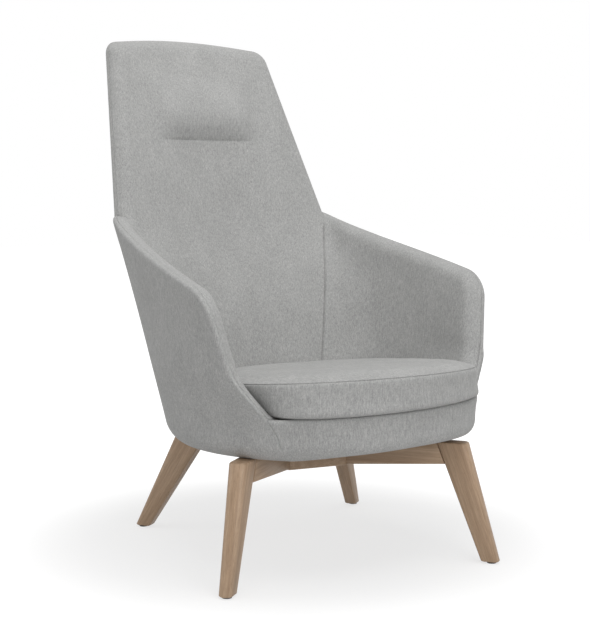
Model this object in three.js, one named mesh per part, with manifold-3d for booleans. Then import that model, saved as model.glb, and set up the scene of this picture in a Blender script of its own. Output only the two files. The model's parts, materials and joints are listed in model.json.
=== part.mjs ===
// A high back lounge chair: an upholstered bucket shell that swivels on four wooden legs.
// Millimetres, +Z up. The shell faces -Y. Everything is laid out around the upright swivel
// axis, with the floor at zero, and the finished chair is then centred over the floor.

import * as THREE from 'three';
import { mergeVertices } from 'three/addons/utils/BufferGeometryUtils.js';
import Module from 'manifold-3d';

const wasm = await Module();
wasm.setup();

// Clearances
const touchGap = 0.3;
const boreGap = 0.4;
const seamGap = 0.5;
const spindleGap = 0.5;
const cutOverrun = 2;

// Shell: heights of its lines, and its outer face in plan at those heights
const undersideHeight = 260;
const undersideRadius = 34;
const undersideLip = 30;
const seatLineHeight = 372;
const shoulderHeight = 730;
const backCornerHeight = 1125;
const backCrown = 17;
const backLowDepth = 236;
const backTopDepth = 466;
const backCornerHalfWidth = 229;
const backCornerDepth = 430;
const backCornerRadius = 30;
const shoulderHalfWidth = 304;
const shoulderDepth = 281;
const seatLineHalfWidth = 216;
const seatLineDepth = 203;

// Arms: the front edge, the handles of the plan curve and the line of the rim
const armFrontHeight = 590;
const armFrontHalfWidth = 403;
const armFrontReach = 191;
const armFlareSlope = 0.25;
const armRakeSlope = 0.2;
const armTuckTop = 440;
const armTuckFoot = 300;
const armTuckWidth = 52;
const armTuckReach = 18;
const armCornerRadius = 48;
const armRimRise = 168;
const armShoulderFade = 0.2;
const armSeatRearHandleLength = 117;
const armShoulderRearHandleLength = 42;
const armFrontHandleLength = 180;
const armSeamSpread = 0.55;
const armSeatToeIn = 55;
const armShoulderToeIn = -54;

// Layers of the shell, counted inwards from its outer face
const edgeBand = 46;
const rimThickness = 44;
const lowPadDepth = 86;
const midPadDepth = 58;
const lowPadHeight = 480;
const midPadHeight = 760;
const puffFade = 150;
const coverThickness = 12;
const coverEdge = 1;
const frameThickness = 12;
const padEdge = 2;
const padRoll = 32;
const footSquareness = 36;
const footSquareRise = 90;
const padOuterStart = 19;
const padOuterFull = 31;
const rollPower = 2.6;
const armPadFade = 0.55;

// Headrest tuft sewn across the inner back pad
const tuftHeight = 903;
const tuftHalfWidth = 113;
const tuftBulge = 15;
const tuftRise = 64;
const tuftFade = 100;
const tuftEndFade = 36;
const tuftGroove = 2;
const tuftGrooveWidth = 9;

// Front rail, seat board, deck and cushion
const railReach = 383;
const railCornerTurn = 40;
const railCornerHandleLength = 120;
const railFrontHandleLength = 140;
const railTopHeight = 349;
const boardThickness = 15;
const deckSlope = 0.05;
const deckGap = 1;
const deckCornerShare = 0.87;
const cushionGap = 5;
const cushionLift = 0.6;
const cushionReach = 398;
const cushionSeamFront = 421;
const cushionSeamSlope = 0.088;
const cushionCrown = 17;
const cushionCrownPower = 3;
const cushionCornerDepth = 35;
const cushionCornerDrop = 3;
const cushionCornerSpread = 90;
const cushionCornerReach = 260;
const cushionCornerWidth = 275;
const cushionSeamTurn = 8;
const cushionSeamCornerHandleLength = 85;
const cushionSeamFrontHandleLength = 178;
const cushionBaseTurn = -20;
const cushionBaseCornerHandleLength = 60;
const cushionBaseFrontHandleLength = 200;
const cushionBulge = 3;
const cushionSeamTuck = 2;
const cushionSeamRise = 4;
const cushionCentreDepth = -90;
const dustCoverThickness = 1.2;
const dustCoverGap = 0.6;
const dustCoverOpeningRadius = 128;

// Wooden base
const restTurn = 15.8;
const frontBearing = 47.2;
const rearBearing = 45.6;
const baseTopHeight = 254;
const glideHeight = 3;
const glideRadius = 10;
const frontFootRadius = 444;
const rearFootRadius = 392;
const frontLegTopRadius = 357;
const rearLegTopRadius = 247;
const frontLegTopDepth = 64;
const rearLegTopDepth = 80;
const legFootDepth = 37;
const legTopWidth = 38;
const legFootWidth = 28;
const legOuterRounding = 11;
const legInnerRounding = 4;
const endChamfer = 2;
const railWidth = 38;
const railLegHeight = 47;
const railHubHeight = 65;
const railRounding = 4;
const hubCornerRadius = 119;
const hubHeight = 67;

// Fasteners and swivel
const studRadius = 5;
const studLength = 70;
const studDrop = 24;
const plateThickness = 4;
const lowerPlateHalf = 72;
const upperPlateHalf = 78;
const plateCorner = 12;
const lowerScrewSpread = 56;
const upperScrewSpread = 62;
const screwRadius = 2.6;
const screwHeadRadius = 5.2;
const screwHeadHeight = 3;
const screwReach = 14;
const socketDepth = 50;
const spindleRadius = 14.5;
const flangeRadius = 52;
const flangeThickness = 3.5;
const washerThickness = 4;
const washerRadius = 46;
const housingRadius = 42;
const retainerRadius = 21;
const retainerHeight = 6;
const retainerRoom = 3;

// Fineness of the round forms
const turnedSides = 24;
const fastenerSides = 10;
const cornerSteps = 3;
const bandSteps = 4;
const turnSteps = 4;
const wallSteps = 7;
const plateCurveSteps = 12;
const openingSteps = 24;

// Finishes
function finish(color, roughness, metalness) {
  return new THREE.MeshStandardMaterial({ color, roughness, metalness });
}

const greyFabric = finish(0xa3a3a1, 0.95, 0);
const blackFabric = finish(0x1e1e1f, 0.95, 0);
const oiledWood = finish(0xab9479, 0.55, 0);
const plywood = finish(0xc9ab80, 0.7, 0);
const foam = finish(0x5b5c5e, 1, 0);
const zincSteel = finish(0xa8abad, 0.4, 1);
const blackSteel = finish(0x26272a, 0.5, 0.6);
const nylon = finish(0xe2dfd6, 0.6, 0);
const felt = finish(0x3b3936, 1, 0);

const chair = new THREE.Group();
const seat = new THREE.Group();
const base = new THREE.Group();
chair.add(seat, base);
base.rotation.z = THREE.MathUtils.degToRad(-restTurn);

function place(name, geometry, material, parent) {
  const mesh = new THREE.Mesh(geometry, material);
  mesh.name = name;
  parent.add(mesh);
  return mesh;
}

// Numbers between two values
function mix(low, high, part) {
  return low + (high - low) * part;
}

function smooth(value, low, high) {
  const part = THREE.MathUtils.clamp((value - low) / (high - low), 0, 1);
  return part * part * (3 - 2 * part);
}

function evenly(low, high, steps) {
  return Array.from({ length: steps + 1 }, (_, step) => mix(low, high, step / steps));
}

// Closed bodies from points and triangles, with their faces turned outwards
function signedVolume(points, triangles) {
  const normal = new THREE.Vector3();
  return triangles.reduce((sum, [a, b, c]) => (
    sum + points[a].dot(normal.crossVectors(points[b], points[c]))
  ), 0);
}

function body(points, triangles) {
  const outward = signedVolume(points, triangles) > 0;
  const facing = outward ? triangles : triangles.map(([a, b, c]) => [a, c, b]);
  const geometry = new THREE.BufferGeometry();
  geometry.setFromPoints(points);
  geometry.setIndex(facing.flat());
  geometry.computeVertexNormals();
  return geometry;
}

function quad(a, b, c, d) {
  return [[a, b, c], [a, c, d]];
}

// A sheet between an outer and an inner grid of points
function slab(columns, rows, pointAt) {
  const points = [];
  const triangles = [];
  const wide = columns.length;
  const tall = rows.length;
  const index = (side, column, row) => (side * tall + row) * wide + column;
  for (const side of [0, 1]) {
    for (const row of rows) {
      for (const column of columns) {
        points.push(pointAt(column, row, side));
      }
    }
  }
  for (let row = 0; row + 1 < tall; row += 1) {
    for (let column = 0; column + 1 < wide; column += 1) {
      const around = [[column, row], [column + 1, row], [column + 1, row + 1], [column, row + 1]];
      const [outer, inner] = [0, 1].map((side) => quad(...around.map(([i, j]) => index(side, i, j))));
      triangles.push(...outer, ...inner.map((triangle) => triangle.reverse()));
    }
  }
  const edge = [
    ...columns.map((_, column) => [column, 0]),
    ...rows.slice(1).map((_, row) => [wide - 1, row + 1]),
    ...columns.slice(1).map((_, column) => [wide - 2 - column, tall - 1]),
    ...rows.slice(2).map((_, row) => [0, tall - 2 - row]),
  ];
  edge.forEach(([i, j], step) => {
    const [k, l] = edge[(step + 1) % edge.length];
    triangles.push(...quad(index(0, k, l), index(0, i, j), index(1, i, j), index(1, k, l)));
  });
  return body(points, triangles);
}

function area(flat, corners) {
  return THREE.ShapeUtils.area(corners.map((corner) => flat[corner]));
}

// A body through closed rings of points, with both ends covered. Each end is laid flat by
// flatten before it is cut into triangles.
function loft(rings, flatten = (point) => new THREE.Vector2(point.x, point.y)) {
  const around = rings[0].length;
  const triangles = [];
  for (let low = 0; low + around < rings.length * around; low += around) {
    for (let step = 0; step < around; step += 1) {
      const next = (step + 1) % around;
      triangles.push(...quad(low + step, low + next, low + around + next, low + around + step));
    }
  }
  for (const end of [0, rings.length - 1]) {
    const flat = rings[end].map(flatten);
    const sense = Math.sign(THREE.ShapeUtils.area(flat)) * (end === 0 ? -1 : 1);
    for (const [a, b, c] of THREE.ShapeUtils.triangulateShape(flat, [])) {
      const facing = Math.sign(area(flat, [a, b, c])) === sense ? [a, b, c] : [a, c, b];
      triangles.push(facing.map((corner) => end * around + corner));
    }
  }
  return body(rings.flat(), triangles);
}

function mirrored(geometry) {
  const flipped = geometry.clone().scale(-1, 1, 1);
  const index = flipped.index.array;
  for (let corner = 0; corner < index.length; corner += 3) {
    [index[corner], index[corner + 1]] = [index[corner + 1], index[corner]];
  }
  flipped.computeVertexNormals();
  return flipped;
}

// Boolean cuts
function toSolid(geometry) {
  const bare = geometry.clone();
  bare.deleteAttribute('normal');
  bare.deleteAttribute('uv');
  const merged = mergeVertices(bare);
  return new wasm.Manifold(new wasm.Mesh({
    numProp: 3,
    vertProperties: new Float32Array(merged.attributes.position.array),
    triVerts: new Uint32Array(merged.index.array),
  }));
}

function cut(geometry, cutters) {
  const solid = cutters.reduce((left, cutter) => left.subtract(toSolid(cutter)), toSolid(geometry));
  const mesh = solid.getMesh();
  const result = new THREE.BufferGeometry();
  result.setAttribute('position', new THREE.BufferAttribute(mesh.vertProperties, mesh.numProp));
  result.setIndex(new THREE.BufferAttribute(mesh.triVerts, 1));
  result.computeVertexNormals();
  return result;
}

// Turned pieces, with profile points as [radius, height]
function turned(profile, sides = turnedSides) {
  const points = profile.map(([radius, height]) => new THREE.Vector2(radius, height));
  const geometry = new THREE.LatheGeometry(points, sides);
  geometry.rotateX(Math.PI / 2);
  return geometry;
}

function rod(radius, low, high, sides = fastenerSides) {
  return turned([[0, low], [radius, low], [radius, high], [0, high]], sides);
}

function ring(inner, outer, low, high) {
  return turned([[inner, low], [outer, low], [outer, high], [inner, high], [inner, low]]);
}

// Outer face of the shell in plan. A column runs across the back from -2 to 2 and along an arm
// from 0 at the back seam to 2 at its front edge. The last unit is the narrow band at a free
// edge. Rows run the same way: from 0 at the knee to 1 at the foot of the pads, to 2 below the
// rim's band and to 3 at the rim.
const kneeHeight = undersideHeight + undersideRadius;
const boardTopHeight = kneeHeight + boardThickness;
const padFootHeight = boardTopHeight + touchGap;
const backTopHeight = backCornerHeight + backCrown;

function bandShare(part) {
  return 1 - Math.sin((part * Math.PI) / 2);
}

function rowHeight(rise, bandStart, rim) {
  if (rise > 2) {
    return mix(rim, bandStart, bandShare(rise - 2));
  }
  return rise <= 1 ? mix(kneeHeight, padFootHeight, rise) : mix(padFootHeight, bandStart, rise - 1);
}

function backDepth(height) {
  return mix(backLowDepth, backTopDepth, (height - kneeHeight) / (backTopHeight - kneeHeight));
}

// The seam to the arm below the shoulder, and the free edge of the back above it
function backEdge(height) {
  if (height < shoulderHeight) {
    const part = (height - seatLineHeight) / (shoulderHeight - seatLineHeight);
    return new THREE.Vector2(
      mix(seatLineHalfWidth, shoulderHalfWidth, part),
      mix(seatLineDepth, shoulderDepth, part),
    );
  }
  const part = (height - shoulderHeight) / (backCornerHeight - shoulderHeight);
  return new THREE.Vector2(
    mix(shoulderHalfWidth, backCornerHalfWidth, part),
    mix(shoulderDepth, backCornerDepth, part),
  );
}

// The top edge is crowned over the distance of its points from the middle
function backTop(column) {
  const end = backCornerHalfWidth - seamGap - backCornerRadius;
  const across = Math.abs(column);
  const reach = across > 1 ? end - edgeBand * bandShare(across - 1) : across * (end - edgeBand);
  return backTopHeight - backCrown * (reach / backCornerHalfWidth) ** 2;
}

const backBandHeight = backTop(2) - edgeBand;

const backPatch = {
  height(column, rise) {
    return rowHeight(rise, backBandHeight, backTop(column));
  },
  plan(column, height) {
    const edge = backEdge(height);
    const below = THREE.MathUtils.clamp(backTop(2) - height, 0, backCornerRadius);
    const up = 1 - below / backCornerRadius;
    const half = edge.x - seamGap - backCornerRadius * (1 - Math.sqrt(1 - up ** 2));
    const inBand = Math.abs(column) - 1;
    const x = inBand > 0
      ? Math.sign(column) * (half - edgeBand * bandShare(inBand))
      : column * (half - edgeBand);
    const sag = backDepth(height) - edge.y;
    const slope = (-2 * sag * x) / edge.x ** 2;
    return {
      point: new THREE.Vector2(x, backDepth(height) - sag * (x / edge.x) ** 2),
      inward: new THREE.Vector2(slope, -1).normalize(),
    };
  },
};

// Front edge of an arm: a straight line that is tucked in towards the rail at its foot
function armFront(height, tucked = 1) {
  const down = armFrontHeight - height;
  const tuck = tucked * (1 - smooth(height, armTuckFoot, armTuckTop));
  return new THREE.Vector2(
    armFrontHalfWidth - armFlareSlope * down - armTuckWidth * tuck,
    -armFrontReach - armRakeSlope * down - armTuckReach * tuck,
  );
}

// A cubic curve that leaves the back in the back's own direction and ends at the front edge
function armCurve(height) {
  const start = backEdge(height);
  const slope = (2 * (backDepth(height) - start.y)) / start.x;
  const heading = new THREE.Vector2(1, -slope).normalize();
  const part = (height - seatLineHeight) / (shoulderHeight - seatLineHeight);
  const rearHandle = mix(armSeatRearHandleLength, armShoulderRearHandleLength, part);
  const side = armFront(height, 0);
  side.x += mix(armSeatToeIn, armShoulderToeIn, part);
  side.y += armFrontHandleLength;
  return new THREE.CubicBezierCurve(
    start,
    start.clone().addScaledVector(heading, rearHandle),
    side,
    armFront(height),
  );
}

// The curve nears its end at three times its handle for each unit of its parameter
const armEndSpeed = 3 * armFrontHandleLength;

function armAlong(column) {
  const band = edgeBand / armEndSpeed;
  return column <= 1 ? column * (1 - band) : 1 - band * bandShare(column - 1);
}

function armRim(along) {
  const line = mix(armFrontHeight + armRimRise, armFrontHeight, along);
  const lift = (shoulderHeight - armFrontHeight - armRimRise) * Math.exp(-along / armShoulderFade);
  const past = THREE.MathUtils.clamp(armCornerRadius - (1 - along) * armEndSpeed, 0, armCornerRadius);
  return line + lift - armCornerRadius + Math.sqrt(armCornerRadius ** 2 - past ** 2);
}

const armPatch = {
  height(column, rise) {
    const rim = armRim(armAlong(column));
    return rowHeight(rise, rim - edgeBand, rim);
  },
  plan(column, height) {
    const curve = armCurve(height);
    const along = armAlong(column);
    const [inward, seamInward] = [along, 0].map((part) => {
      const heading = curve.getTangent(part);
      return new THREE.Vector2(heading.y, -heading.x);
    });
    inward.lerp(seamInward, 1 - smooth(column, 0, armSeamSpread)).normalize();
    return {
      point: curve.getPoint(along),
      inward: inward.lerp(railInward(1), smooth(column, 1, 2)).normalize(),
    };
  },
};

// Inward direction at the rail: it splits the corner at an arm's seam and faces back in the middle
const railTurn = THREE.MathUtils.degToRad(railCornerTurn);

function railInward(column) {
  const angle = mix(Math.PI / 2, railTurn / 2, Math.abs(column));
  return new THREE.Vector2(-Math.sign(column) * Math.cos(angle), Math.sin(angle));
}

// A curve from a front corner of the seat to the middle of its front
function frontBow(corner, turn, cornerHandle, frontHandle, reach) {
  const heading = new THREE.Vector2(0, -cornerHandle).rotateAround(new THREE.Vector2(), -turn);
  return new THREE.CubicBezierCurve(
    corner,
    corner.clone().add(heading),
    new THREE.Vector2(frontHandle, -reach),
    new THREE.Vector2(0, -reach),
  );
}

// The seat deck and the top of the front rail fall to the back alike
function deckHeight(depth) {
  return railTopHeight - deckSlope * (depth + railReach);
}

// The front rail bows from one arm's front edge to the other's, with columns from -1 to 1
const railPatch = {
  height(column, rise) {
    const top = railTop(column);
    return rowHeight(rise, top - coverThickness, top);
  },
  plan(column, height) {
    const end = armFront(height);
    const start = new THREE.Vector2(end.x, end.y - seamGap);
    const bow = frontBow(start, railTurn, railCornerHandleLength, railFrontHandleLength, railReach);
    const point = bow.getPoint(1 - Math.abs(column));
    return {
      point: new THREE.Vector2(Math.sign(column) * point.x, point.y),
      inward: railInward(column),
    };
  },
};

function railTop(column) {
  return deckHeight(railPatch.plan(column, railTopHeight).point.y) - touchGap;
}

// A point of a wall. Rows below zero turn under the knee and then run inwards as a lip.
function wallPoint(patch, column, rise, depth) {
  const under = Math.max(-rise, 0);
  const angle = (Math.min(under, 1) * Math.PI) / 2;
  const radius = undersideRadius - depth;
  const lip = Math.max(under - 1, 0) * undersideLip;
  const height = under > 0 ? kneeHeight - radius * Math.sin(angle) : patch.height(column, rise);
  const inset = under > 0 ? undersideRadius - radius * Math.cos(angle) + lip : depth;
  const { point, inward } = patch.plan(column, height);
  point.addScaledVector(inward, inset);
  return new THREE.Vector3(point.x, point.y, height);
}

// Columns and rows of the walls
const bandParts = evenly(0, 1, bandSteps).slice(1);
const backInner = evenly(-1, 1, 10);
const backColumns = [
  ...bandParts.map((part) => -1 - part).reverse(),
  ...backInner,
  ...bandParts.map((part) => 1 + part),
];
const armInner = [0, 0.08, 0.17, 0.27, 0.37, 0.47, 0.57, 0.67, 0.78, 0.89, 1];
const armColumns = [...armInner, ...bandParts.map((part) => 1 + part)];
const railColumns = evenly(-1, 1, 18);
const underRows = [-2, ...evenly(-1, 0, turnSteps)];
const bandRows = bandParts.map((part) => 2 + part);
const wallRows = evenly(1, 2, wallSteps);
const armRows = [...wallRows, ...bandRows];

// The rim of the right half on the outer face, for the distance that a point lies from it
function rimLine() {
  const armFrontEdge = evenly(railTopHeight, armPatch.height(2, 3), wallSteps).map((height) => {
    const end = armFront(height);
    return new THREE.Vector3(end.x, end.y, height);
  });
  const armTop = armColumns.map((column) => wallPoint(armPatch, column, 3, 0)).reverse();
  const backSide = evenly(shoulderHeight, backBandHeight, wallSteps).map((height) => {
    const { point } = backPatch.plan(2, height);
    return new THREE.Vector3(point.x, point.y, height);
  });
  const backCorner = bandRows.map((rise) => wallPoint(backPatch, 2, rise, 0));
  const backTopEdge = backColumns.filter((column) => column >= 0).reverse()
    .map((column) => wallPoint(backPatch, column, 3, 0));
  return [...armFrontEdge, ...armTop, ...backSide, ...backCorner, ...backTopEdge];
}

const rimPoints = rimLine();
const rimSegments = rimPoints.slice(1).map((point, step) => new THREE.Line3(rimPoints[step], point));

function toRim(point) {
  const rightSide = new THREE.Vector3(Math.abs(point.x), point.y, point.z);
  const nearest = new THREE.Vector3();
  return Math.min(...rimSegments.map((segment) => (
    segment.closestPointToPoint(rightSide, true, nearest).distanceTo(rightSide)
  )));
}

// The distance that rounds a cover's edge off: less towards the rail, where it is sewn
function toRoundedEdge(point) {
  const square = 1 - smooth(point.z, railTopHeight, railTopHeight + footSquareRise);
  return toRim(point) + footSquareness * square;
}

// Share of a rounded edge's full depth at a distance from the edge
function roll(distance, radius) {
  const part = THREE.MathUtils.clamp(1 - distance / radius, 0, 1);
  return (1 - part ** rollPower) ** (1 / rollPower);
}

const seamDepth = coverThickness + touchGap;
const frameInnerDepth = seamDepth + frameThickness;
const padOuterDepth = frameInnerDepth + touchGap;

function coverDepth(distance, side) {
  const rolled = (coverThickness - coverEdge) * (1 - roll(distance, coverThickness));
  return side === 0 ? rolled : coverThickness;
}

function padDepth(point, along) {
  const middle = mix(lowPadDepth, midPadDepth, smooth(point.z, lowPadHeight, midPadHeight));
  const full = mix(middle, rimThickness, smooth(along, 0, armPadFade));
  const distance = toRim(point);
  const puffed = mix(rimThickness, full, smooth(distance, 0, puffFade));
  const edge = seamDepth + padEdge;
  return edge + (puffed - edge) * roll(distance, padRoll);
}

function padBackDepth(point) {
  return mix(seamDepth, padOuterDepth, smooth(toRim(point), padOuterStart, padOuterFull));
}

// Bulge of the headrest above its sewn line, with a groove along the line
function tuft(point) {
  const ends = 1 - smooth(Math.abs(point.x), tuftHalfWidth - tuftEndFade, tuftHalfWidth + tuftEndFade);
  const above = Math.max(point.z - tuftHeight, 0);
  const swell = Math.sin((Math.min(above / tuftRise, 1) * Math.PI) / 2);
  const fade = 1 - smooth(above, tuftRise, tuftRise + tuftFade);
  const groove = Math.exp(-(((point.z - tuftHeight) / tuftGrooveWidth) ** 2));
  return ends * (tuftBulge * swell * fade - tuftGroove * groove);
}

// Upholstered walls
function wallSlab(patch, columns, rows, depthAt) {
  return slab(columns, rows, (column, rise, side) => {
    const face = wallPoint(patch, column, rise, 0);
    return wallPoint(patch, column, rise, depthAt(face, column, side));
  });
}

function cover(patch, columns, rows) {
  return wallSlab(patch, columns, [...underRows, ...rows], (face, column, side) => (
    coverDepth(toRoundedEdge(face), side)
  ));
}

function frame(patch, columns, rows) {
  return wallSlab(patch, columns, [0, ...rows.filter((row) => row <= 2)], (face, column, side) => (
    side === 0 ? seamDepth : frameInnerDepth
  ));
}

const tuftRow = 1 + (tuftHeight - padFootHeight) / (backBandHeight - padFootHeight);
const tuftStepShares = [-0.02, -0.01, 0, 0.01, 0.022, 0.036, 0.055, 0.085, 0.12, 0.16];
const backRows = [
  ...evenly(1, tuftRow - 0.06, 9),
  ...tuftStepShares.map((share) => tuftRow + share),
  2,
  ...bandRows,
];
const backPad = wallSlab(backPatch, backColumns, backRows, (face, column, side) => (
  side === 0 ? padBackDepth(face) : padDepth(face, 0) + tuft(face)
));
place('outer_back_cover', cover(backPatch, backColumns, backRows), greyFabric, seat);
place('back_frame', frame(backPatch, backInner, backRows), plywood, seat);
place('inner_back_pad', backPad, greyFabric, seat);

const armCover = cover(armPatch, armColumns, armRows);
const armFrame = frame(armPatch, armInner, armRows);
const armPad = wallSlab(armPatch, armColumns, armRows, (face, column, side) => (
  side === 0 ? padBackDepth(face) : padDepth(face, armAlong(column))
));
place('outer_arm_cover_right', armCover, greyFabric, seat);
place('outer_arm_cover_left', mirrored(armCover), greyFabric, seat);
place('arm_frame_right', armFrame, plywood, seat);
place('arm_frame_left', mirrored(armFrame), plywood, seat);
place('inner_arm_pad_right', armPad, greyFabric, seat);
place('inner_arm_pad_left', mirrored(armPad), greyFabric, seat);

const railRows = [...underRows, 1, 2, ...bandRows];
place('front_rail_cover', wallSlab(railPatch, railColumns, railRows, (face, column, side) => (
  coverDepth(railTop(column) - face.z, side)
)), greyFabric, seat);
place('front_rail_board', wallSlab(railPatch, railColumns, [0, 1, 2], (face, column, side) => (
  side === 0 ? seamDepth : frameInnerDepth
)), plywood, seat);

// Outline around the inside of the shell for a piece between two heights, from the right front
// corner over the back to the left front corner, then along the front rail. The walls close in
// towards the floor, but the ends of the rail draw back towards its top.
function insideOutline(low, high, armDepth, backInset, railInset, railShare) {
  const wall = (patch, column, depth, height = low) => {
    const { point, inward } = patch.plan(column, height);
    return point.addScaledVector(inward, depth(new THREE.Vector3(point.x, point.y, height), column));
  };
  const right = [...armColumns].reverse().map((column) => wall(armPatch, column, armDepth));
  const back = backColumns.filter((column) => Math.abs(column) < 2).reverse()
    .map((column) => wall(backPatch, column, backInset));
  const left = [...right].reverse().map((point) => new THREE.Vector2(-point.x, point.y));
  const rail = railColumns.map((column) => new THREE.Vector2(
    wall(railPatch, column * railShare, railInset, low).x,
    wall(railPatch, column * railShare, railInset, high).y,
  ));
  return [...right, ...back, ...left, ...rail];
}

const toBoard = () => padOuterDepth;
const boardOutline = insideOutline(kneeHeight, boardTopHeight, toBoard, toBoard, toBoard, 1);

// Swivel heights
const lowerPlateLow = baseTopHeight + touchGap;
const flangeLow = lowerPlateLow + plateThickness + touchGap;
const washerLow = flangeLow + flangeThickness + touchGap;
const housingLow = washerLow + washerThickness + touchGap;
const upperPlateHigh = kneeHeight - touchGap;
const upperPlateLow = upperPlateHigh - plateThickness;
const retainerLow = kneeHeight;
const spindleTop = retainerLow + retainerHeight + retainerRoom;
const spindleBore = spindleRadius + spindleGap;

function circle(radius, x = 0, y = 0) {
  const path = new THREE.Path();
  path.absarc(x, y, radius, 0, 2 * Math.PI, true);
  return path;
}

function fourCorners(spread) {
  return [[1, 1], [-1, 1], [-1, -1], [1, -1]].map(([x, y]) => [x * spread, y * spread]);
}

function board(shape, low, thickness, curveSegments) {
  const geometry = new THREE.ExtrudeGeometry(shape, { depth: thickness, bevelEnabled: false, curveSegments });
  return geometry.translate(0, 0, low);
}

const seatBoardShape = new THREE.Shape(boardOutline);
seatBoardShape.holes.push(circle(retainerRadius + retainerRoom));
const screwBores = fourCorners(upperScrewSpread).map(([x, y]) => (
  rod(screwRadius + boreGap, kneeHeight - cutOverrun, kneeHeight + screwReach - boreGap)
    .translate(x, y, 0)
));
const seatBoard = cut(board(seatBoardShape, kneeHeight, boardThickness, openingSteps / 2), screwBores);
place('seat_board', seatBoard, plywood, seat);

// Seat deck: foam on the board
const deckOutline = insideOutline(
  padFootHeight,
  railTopHeight,
  (face, column) => padDepth(face, armAlong(column)) + deckGap,
  (face) => padDepth(face, 0) + deckGap,
  toBoard,
  deckCornerShare,
);
place('seat_deck', loft([
  deckOutline.map((point) => new THREE.Vector3(point.x, point.y, padFootHeight)),
  deckOutline.map((point) => new THREE.Vector3(point.x, point.y, deckHeight(point.y))),
]), foam, seat);

// Seat cushion: its sides follow the pads and its front bows past the rail
function cushionSeamHeight(point) {
  const corner = Math.hypot(
    Math.abs(point.x) - cushionCornerWidth,
    point.y + cushionCornerReach,
  );
  const drop = cushionCornerDrop * Math.exp(-((corner / cushionCornerSpread) ** 2));
  return cushionSeamFront - cushionSeamSlope * (point.y + cushionReach) - drop;
}

function cushionBaseHeight(point) {
  return deckHeight(point.y) + cushionLift;
}

const cushionArmColumns = [1.3, 0.93, 0.8, 0.66, 0.52, 0.38, 0.24, 0.1];
const cushionBackColumns = evenly(1, -1, 10);
const cushionFrontSteps = 16;

// The bow of the cushion's front at its foot and at its seam
const baseBow = [
  THREE.MathUtils.degToRad(cushionBaseTurn),
  cushionBaseCornerHandleLength,
  cushionBaseFrontHandleLength,
];
const seamBow = [
  THREE.MathUtils.degToRad(cushionSeamTurn),
  cushionSeamCornerHandleLength,
  cushionSeamFrontHandleLength,
];

// One edge line of the cushion. Each point lies in the pads' plan at its own height.
function cushionLine(heightAt, inset, bowShape) {
  const settle = (patch, column, thicknessAt) => {
    let height = heightAt(patch.plan(column, seatLineHeight).point);
    let point;
    for (let pass = 0; pass < 2; pass += 1) {
      const { point: face, inward } = patch.plan(column, height);
      const thickness = thicknessAt(new THREE.Vector3(face.x, face.y, height));
      point = face.addScaledVector(inward, thickness + cushionGap + inset);
      height = heightAt(point);
    }
    return new THREE.Vector3(point.x, point.y, height);
  };
  const side = settle(armPatch, 2, () => cushionCornerDepth);
  const corner = new THREE.Vector2(side.x, side.y);
  const bow = frontBow(corner, ...bowShape, cushionReach - inset);
  const front = evenly(-1, 1, cushionFrontSteps).map((part) => {
    const { x, y } = bow.getPoint(1 - Math.abs(part));
    const point = new THREE.Vector2(Math.sign(part) * x, y);
    return new THREE.Vector3(point.x, point.y, heightAt(point));
  });
  const right = cushionArmColumns.map((column) => (
    settle(armPatch, column, (face) => padDepth(face, armAlong(column)))
  ));
  const back = cushionBackColumns.map((column) => settle(backPatch, column, (face) => padDepth(face, 0)));
  const left = [...right].reverse().map((point) => new THREE.Vector3(-point.x, point.y, point.z));
  return [...front, ...right, ...back, ...left];
}

// A ring drawn in towards the cushion's middle by a share, at heights of its own
function drawnIn(line, share, heightAt) {
  return line.map((edge) => {
    const point = new THREE.Vector2(edge.x, edge.y - cushionCentreDepth).multiplyScalar(share);
    point.y += cushionCentreDepth;
    return new THREE.Vector3(point.x, point.y, heightAt(point));
  });
}

function between(low, high, part, lift) {
  return low.map((point, step) => {
    const mixed = point.clone().lerp(high[step], part);
    mixed.z += lift;
    return mixed;
  });
}

function seatCushion() {
  const footHeight = (point) => cushionBaseHeight(point) + cushionSeamRise;
  const lower = cushionLine(footHeight, cushionSeamTuck, baseBow);
  const upper = cushionLine(cushionSeamHeight, cushionSeamTuck, seamBow);
  const lowerFull = cushionLine(footHeight, -cushionBulge, baseBow);
  const upperFull = cushionLine(cushionSeamHeight, -cushionBulge, seamBow);
  const crownShares = [0.985, 0.95, 0.88, 0.75, 0.55, 0.3, 0.1];
  const baseShares = [0.1, 0.55, 0.97];
  return loft([
    ...baseShares.map((share) => drawnIn(lower, share, cushionBaseHeight)),
    lower,
    ...[0.16, 0.5, 0.84].map((part) => between(lowerFull, upperFull, part, 0)),
    upper,
    ...crownShares.map((share) => drawnIn(upper, share, (point) => (
      cushionSeamHeight(point) + cushionCrown * (1 - share ** cushionCrownPower) + cushionSeamTuck
    ))),
  ]);
}

place('seat_cushion', seatCushion(), greyFabric, seat);

// Dust cover across the underside, open around the swivel
const dustInset = () => undersideRadius + undersideLip + dustCoverGap;
const dustTop = undersideHeight + dustCoverThickness;
const dustOutline = insideOutline(undersideHeight, dustTop, dustInset, dustInset, dustInset, 1);
const dustShape = new THREE.Shape(dustOutline);
dustShape.holes.push(circle(dustCoverOpeningRadius));
const dustCover = board(dustShape, undersideHeight, dustCoverThickness, openingSteps / 2);
place('dust_cover', dustCover, blackFabric, seat);

// Swivel
function swivelPlate(half, bore, spread) {
  const inner = half - plateCorner;
  const shape = new THREE.Shape();
  fourCorners(inner).forEach(([x, y], turn) => {
    const start = (turn * Math.PI) / 2;
    shape.absarc(x, y, plateCorner, start, start + Math.PI / 2, false);
  });
  shape.holes.push(circle(bore));
  shape.holes.push(...fourCorners(spread).map(([x, y]) => circle(screwRadius + boreGap, x, y)));
  return shape;
}

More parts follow.
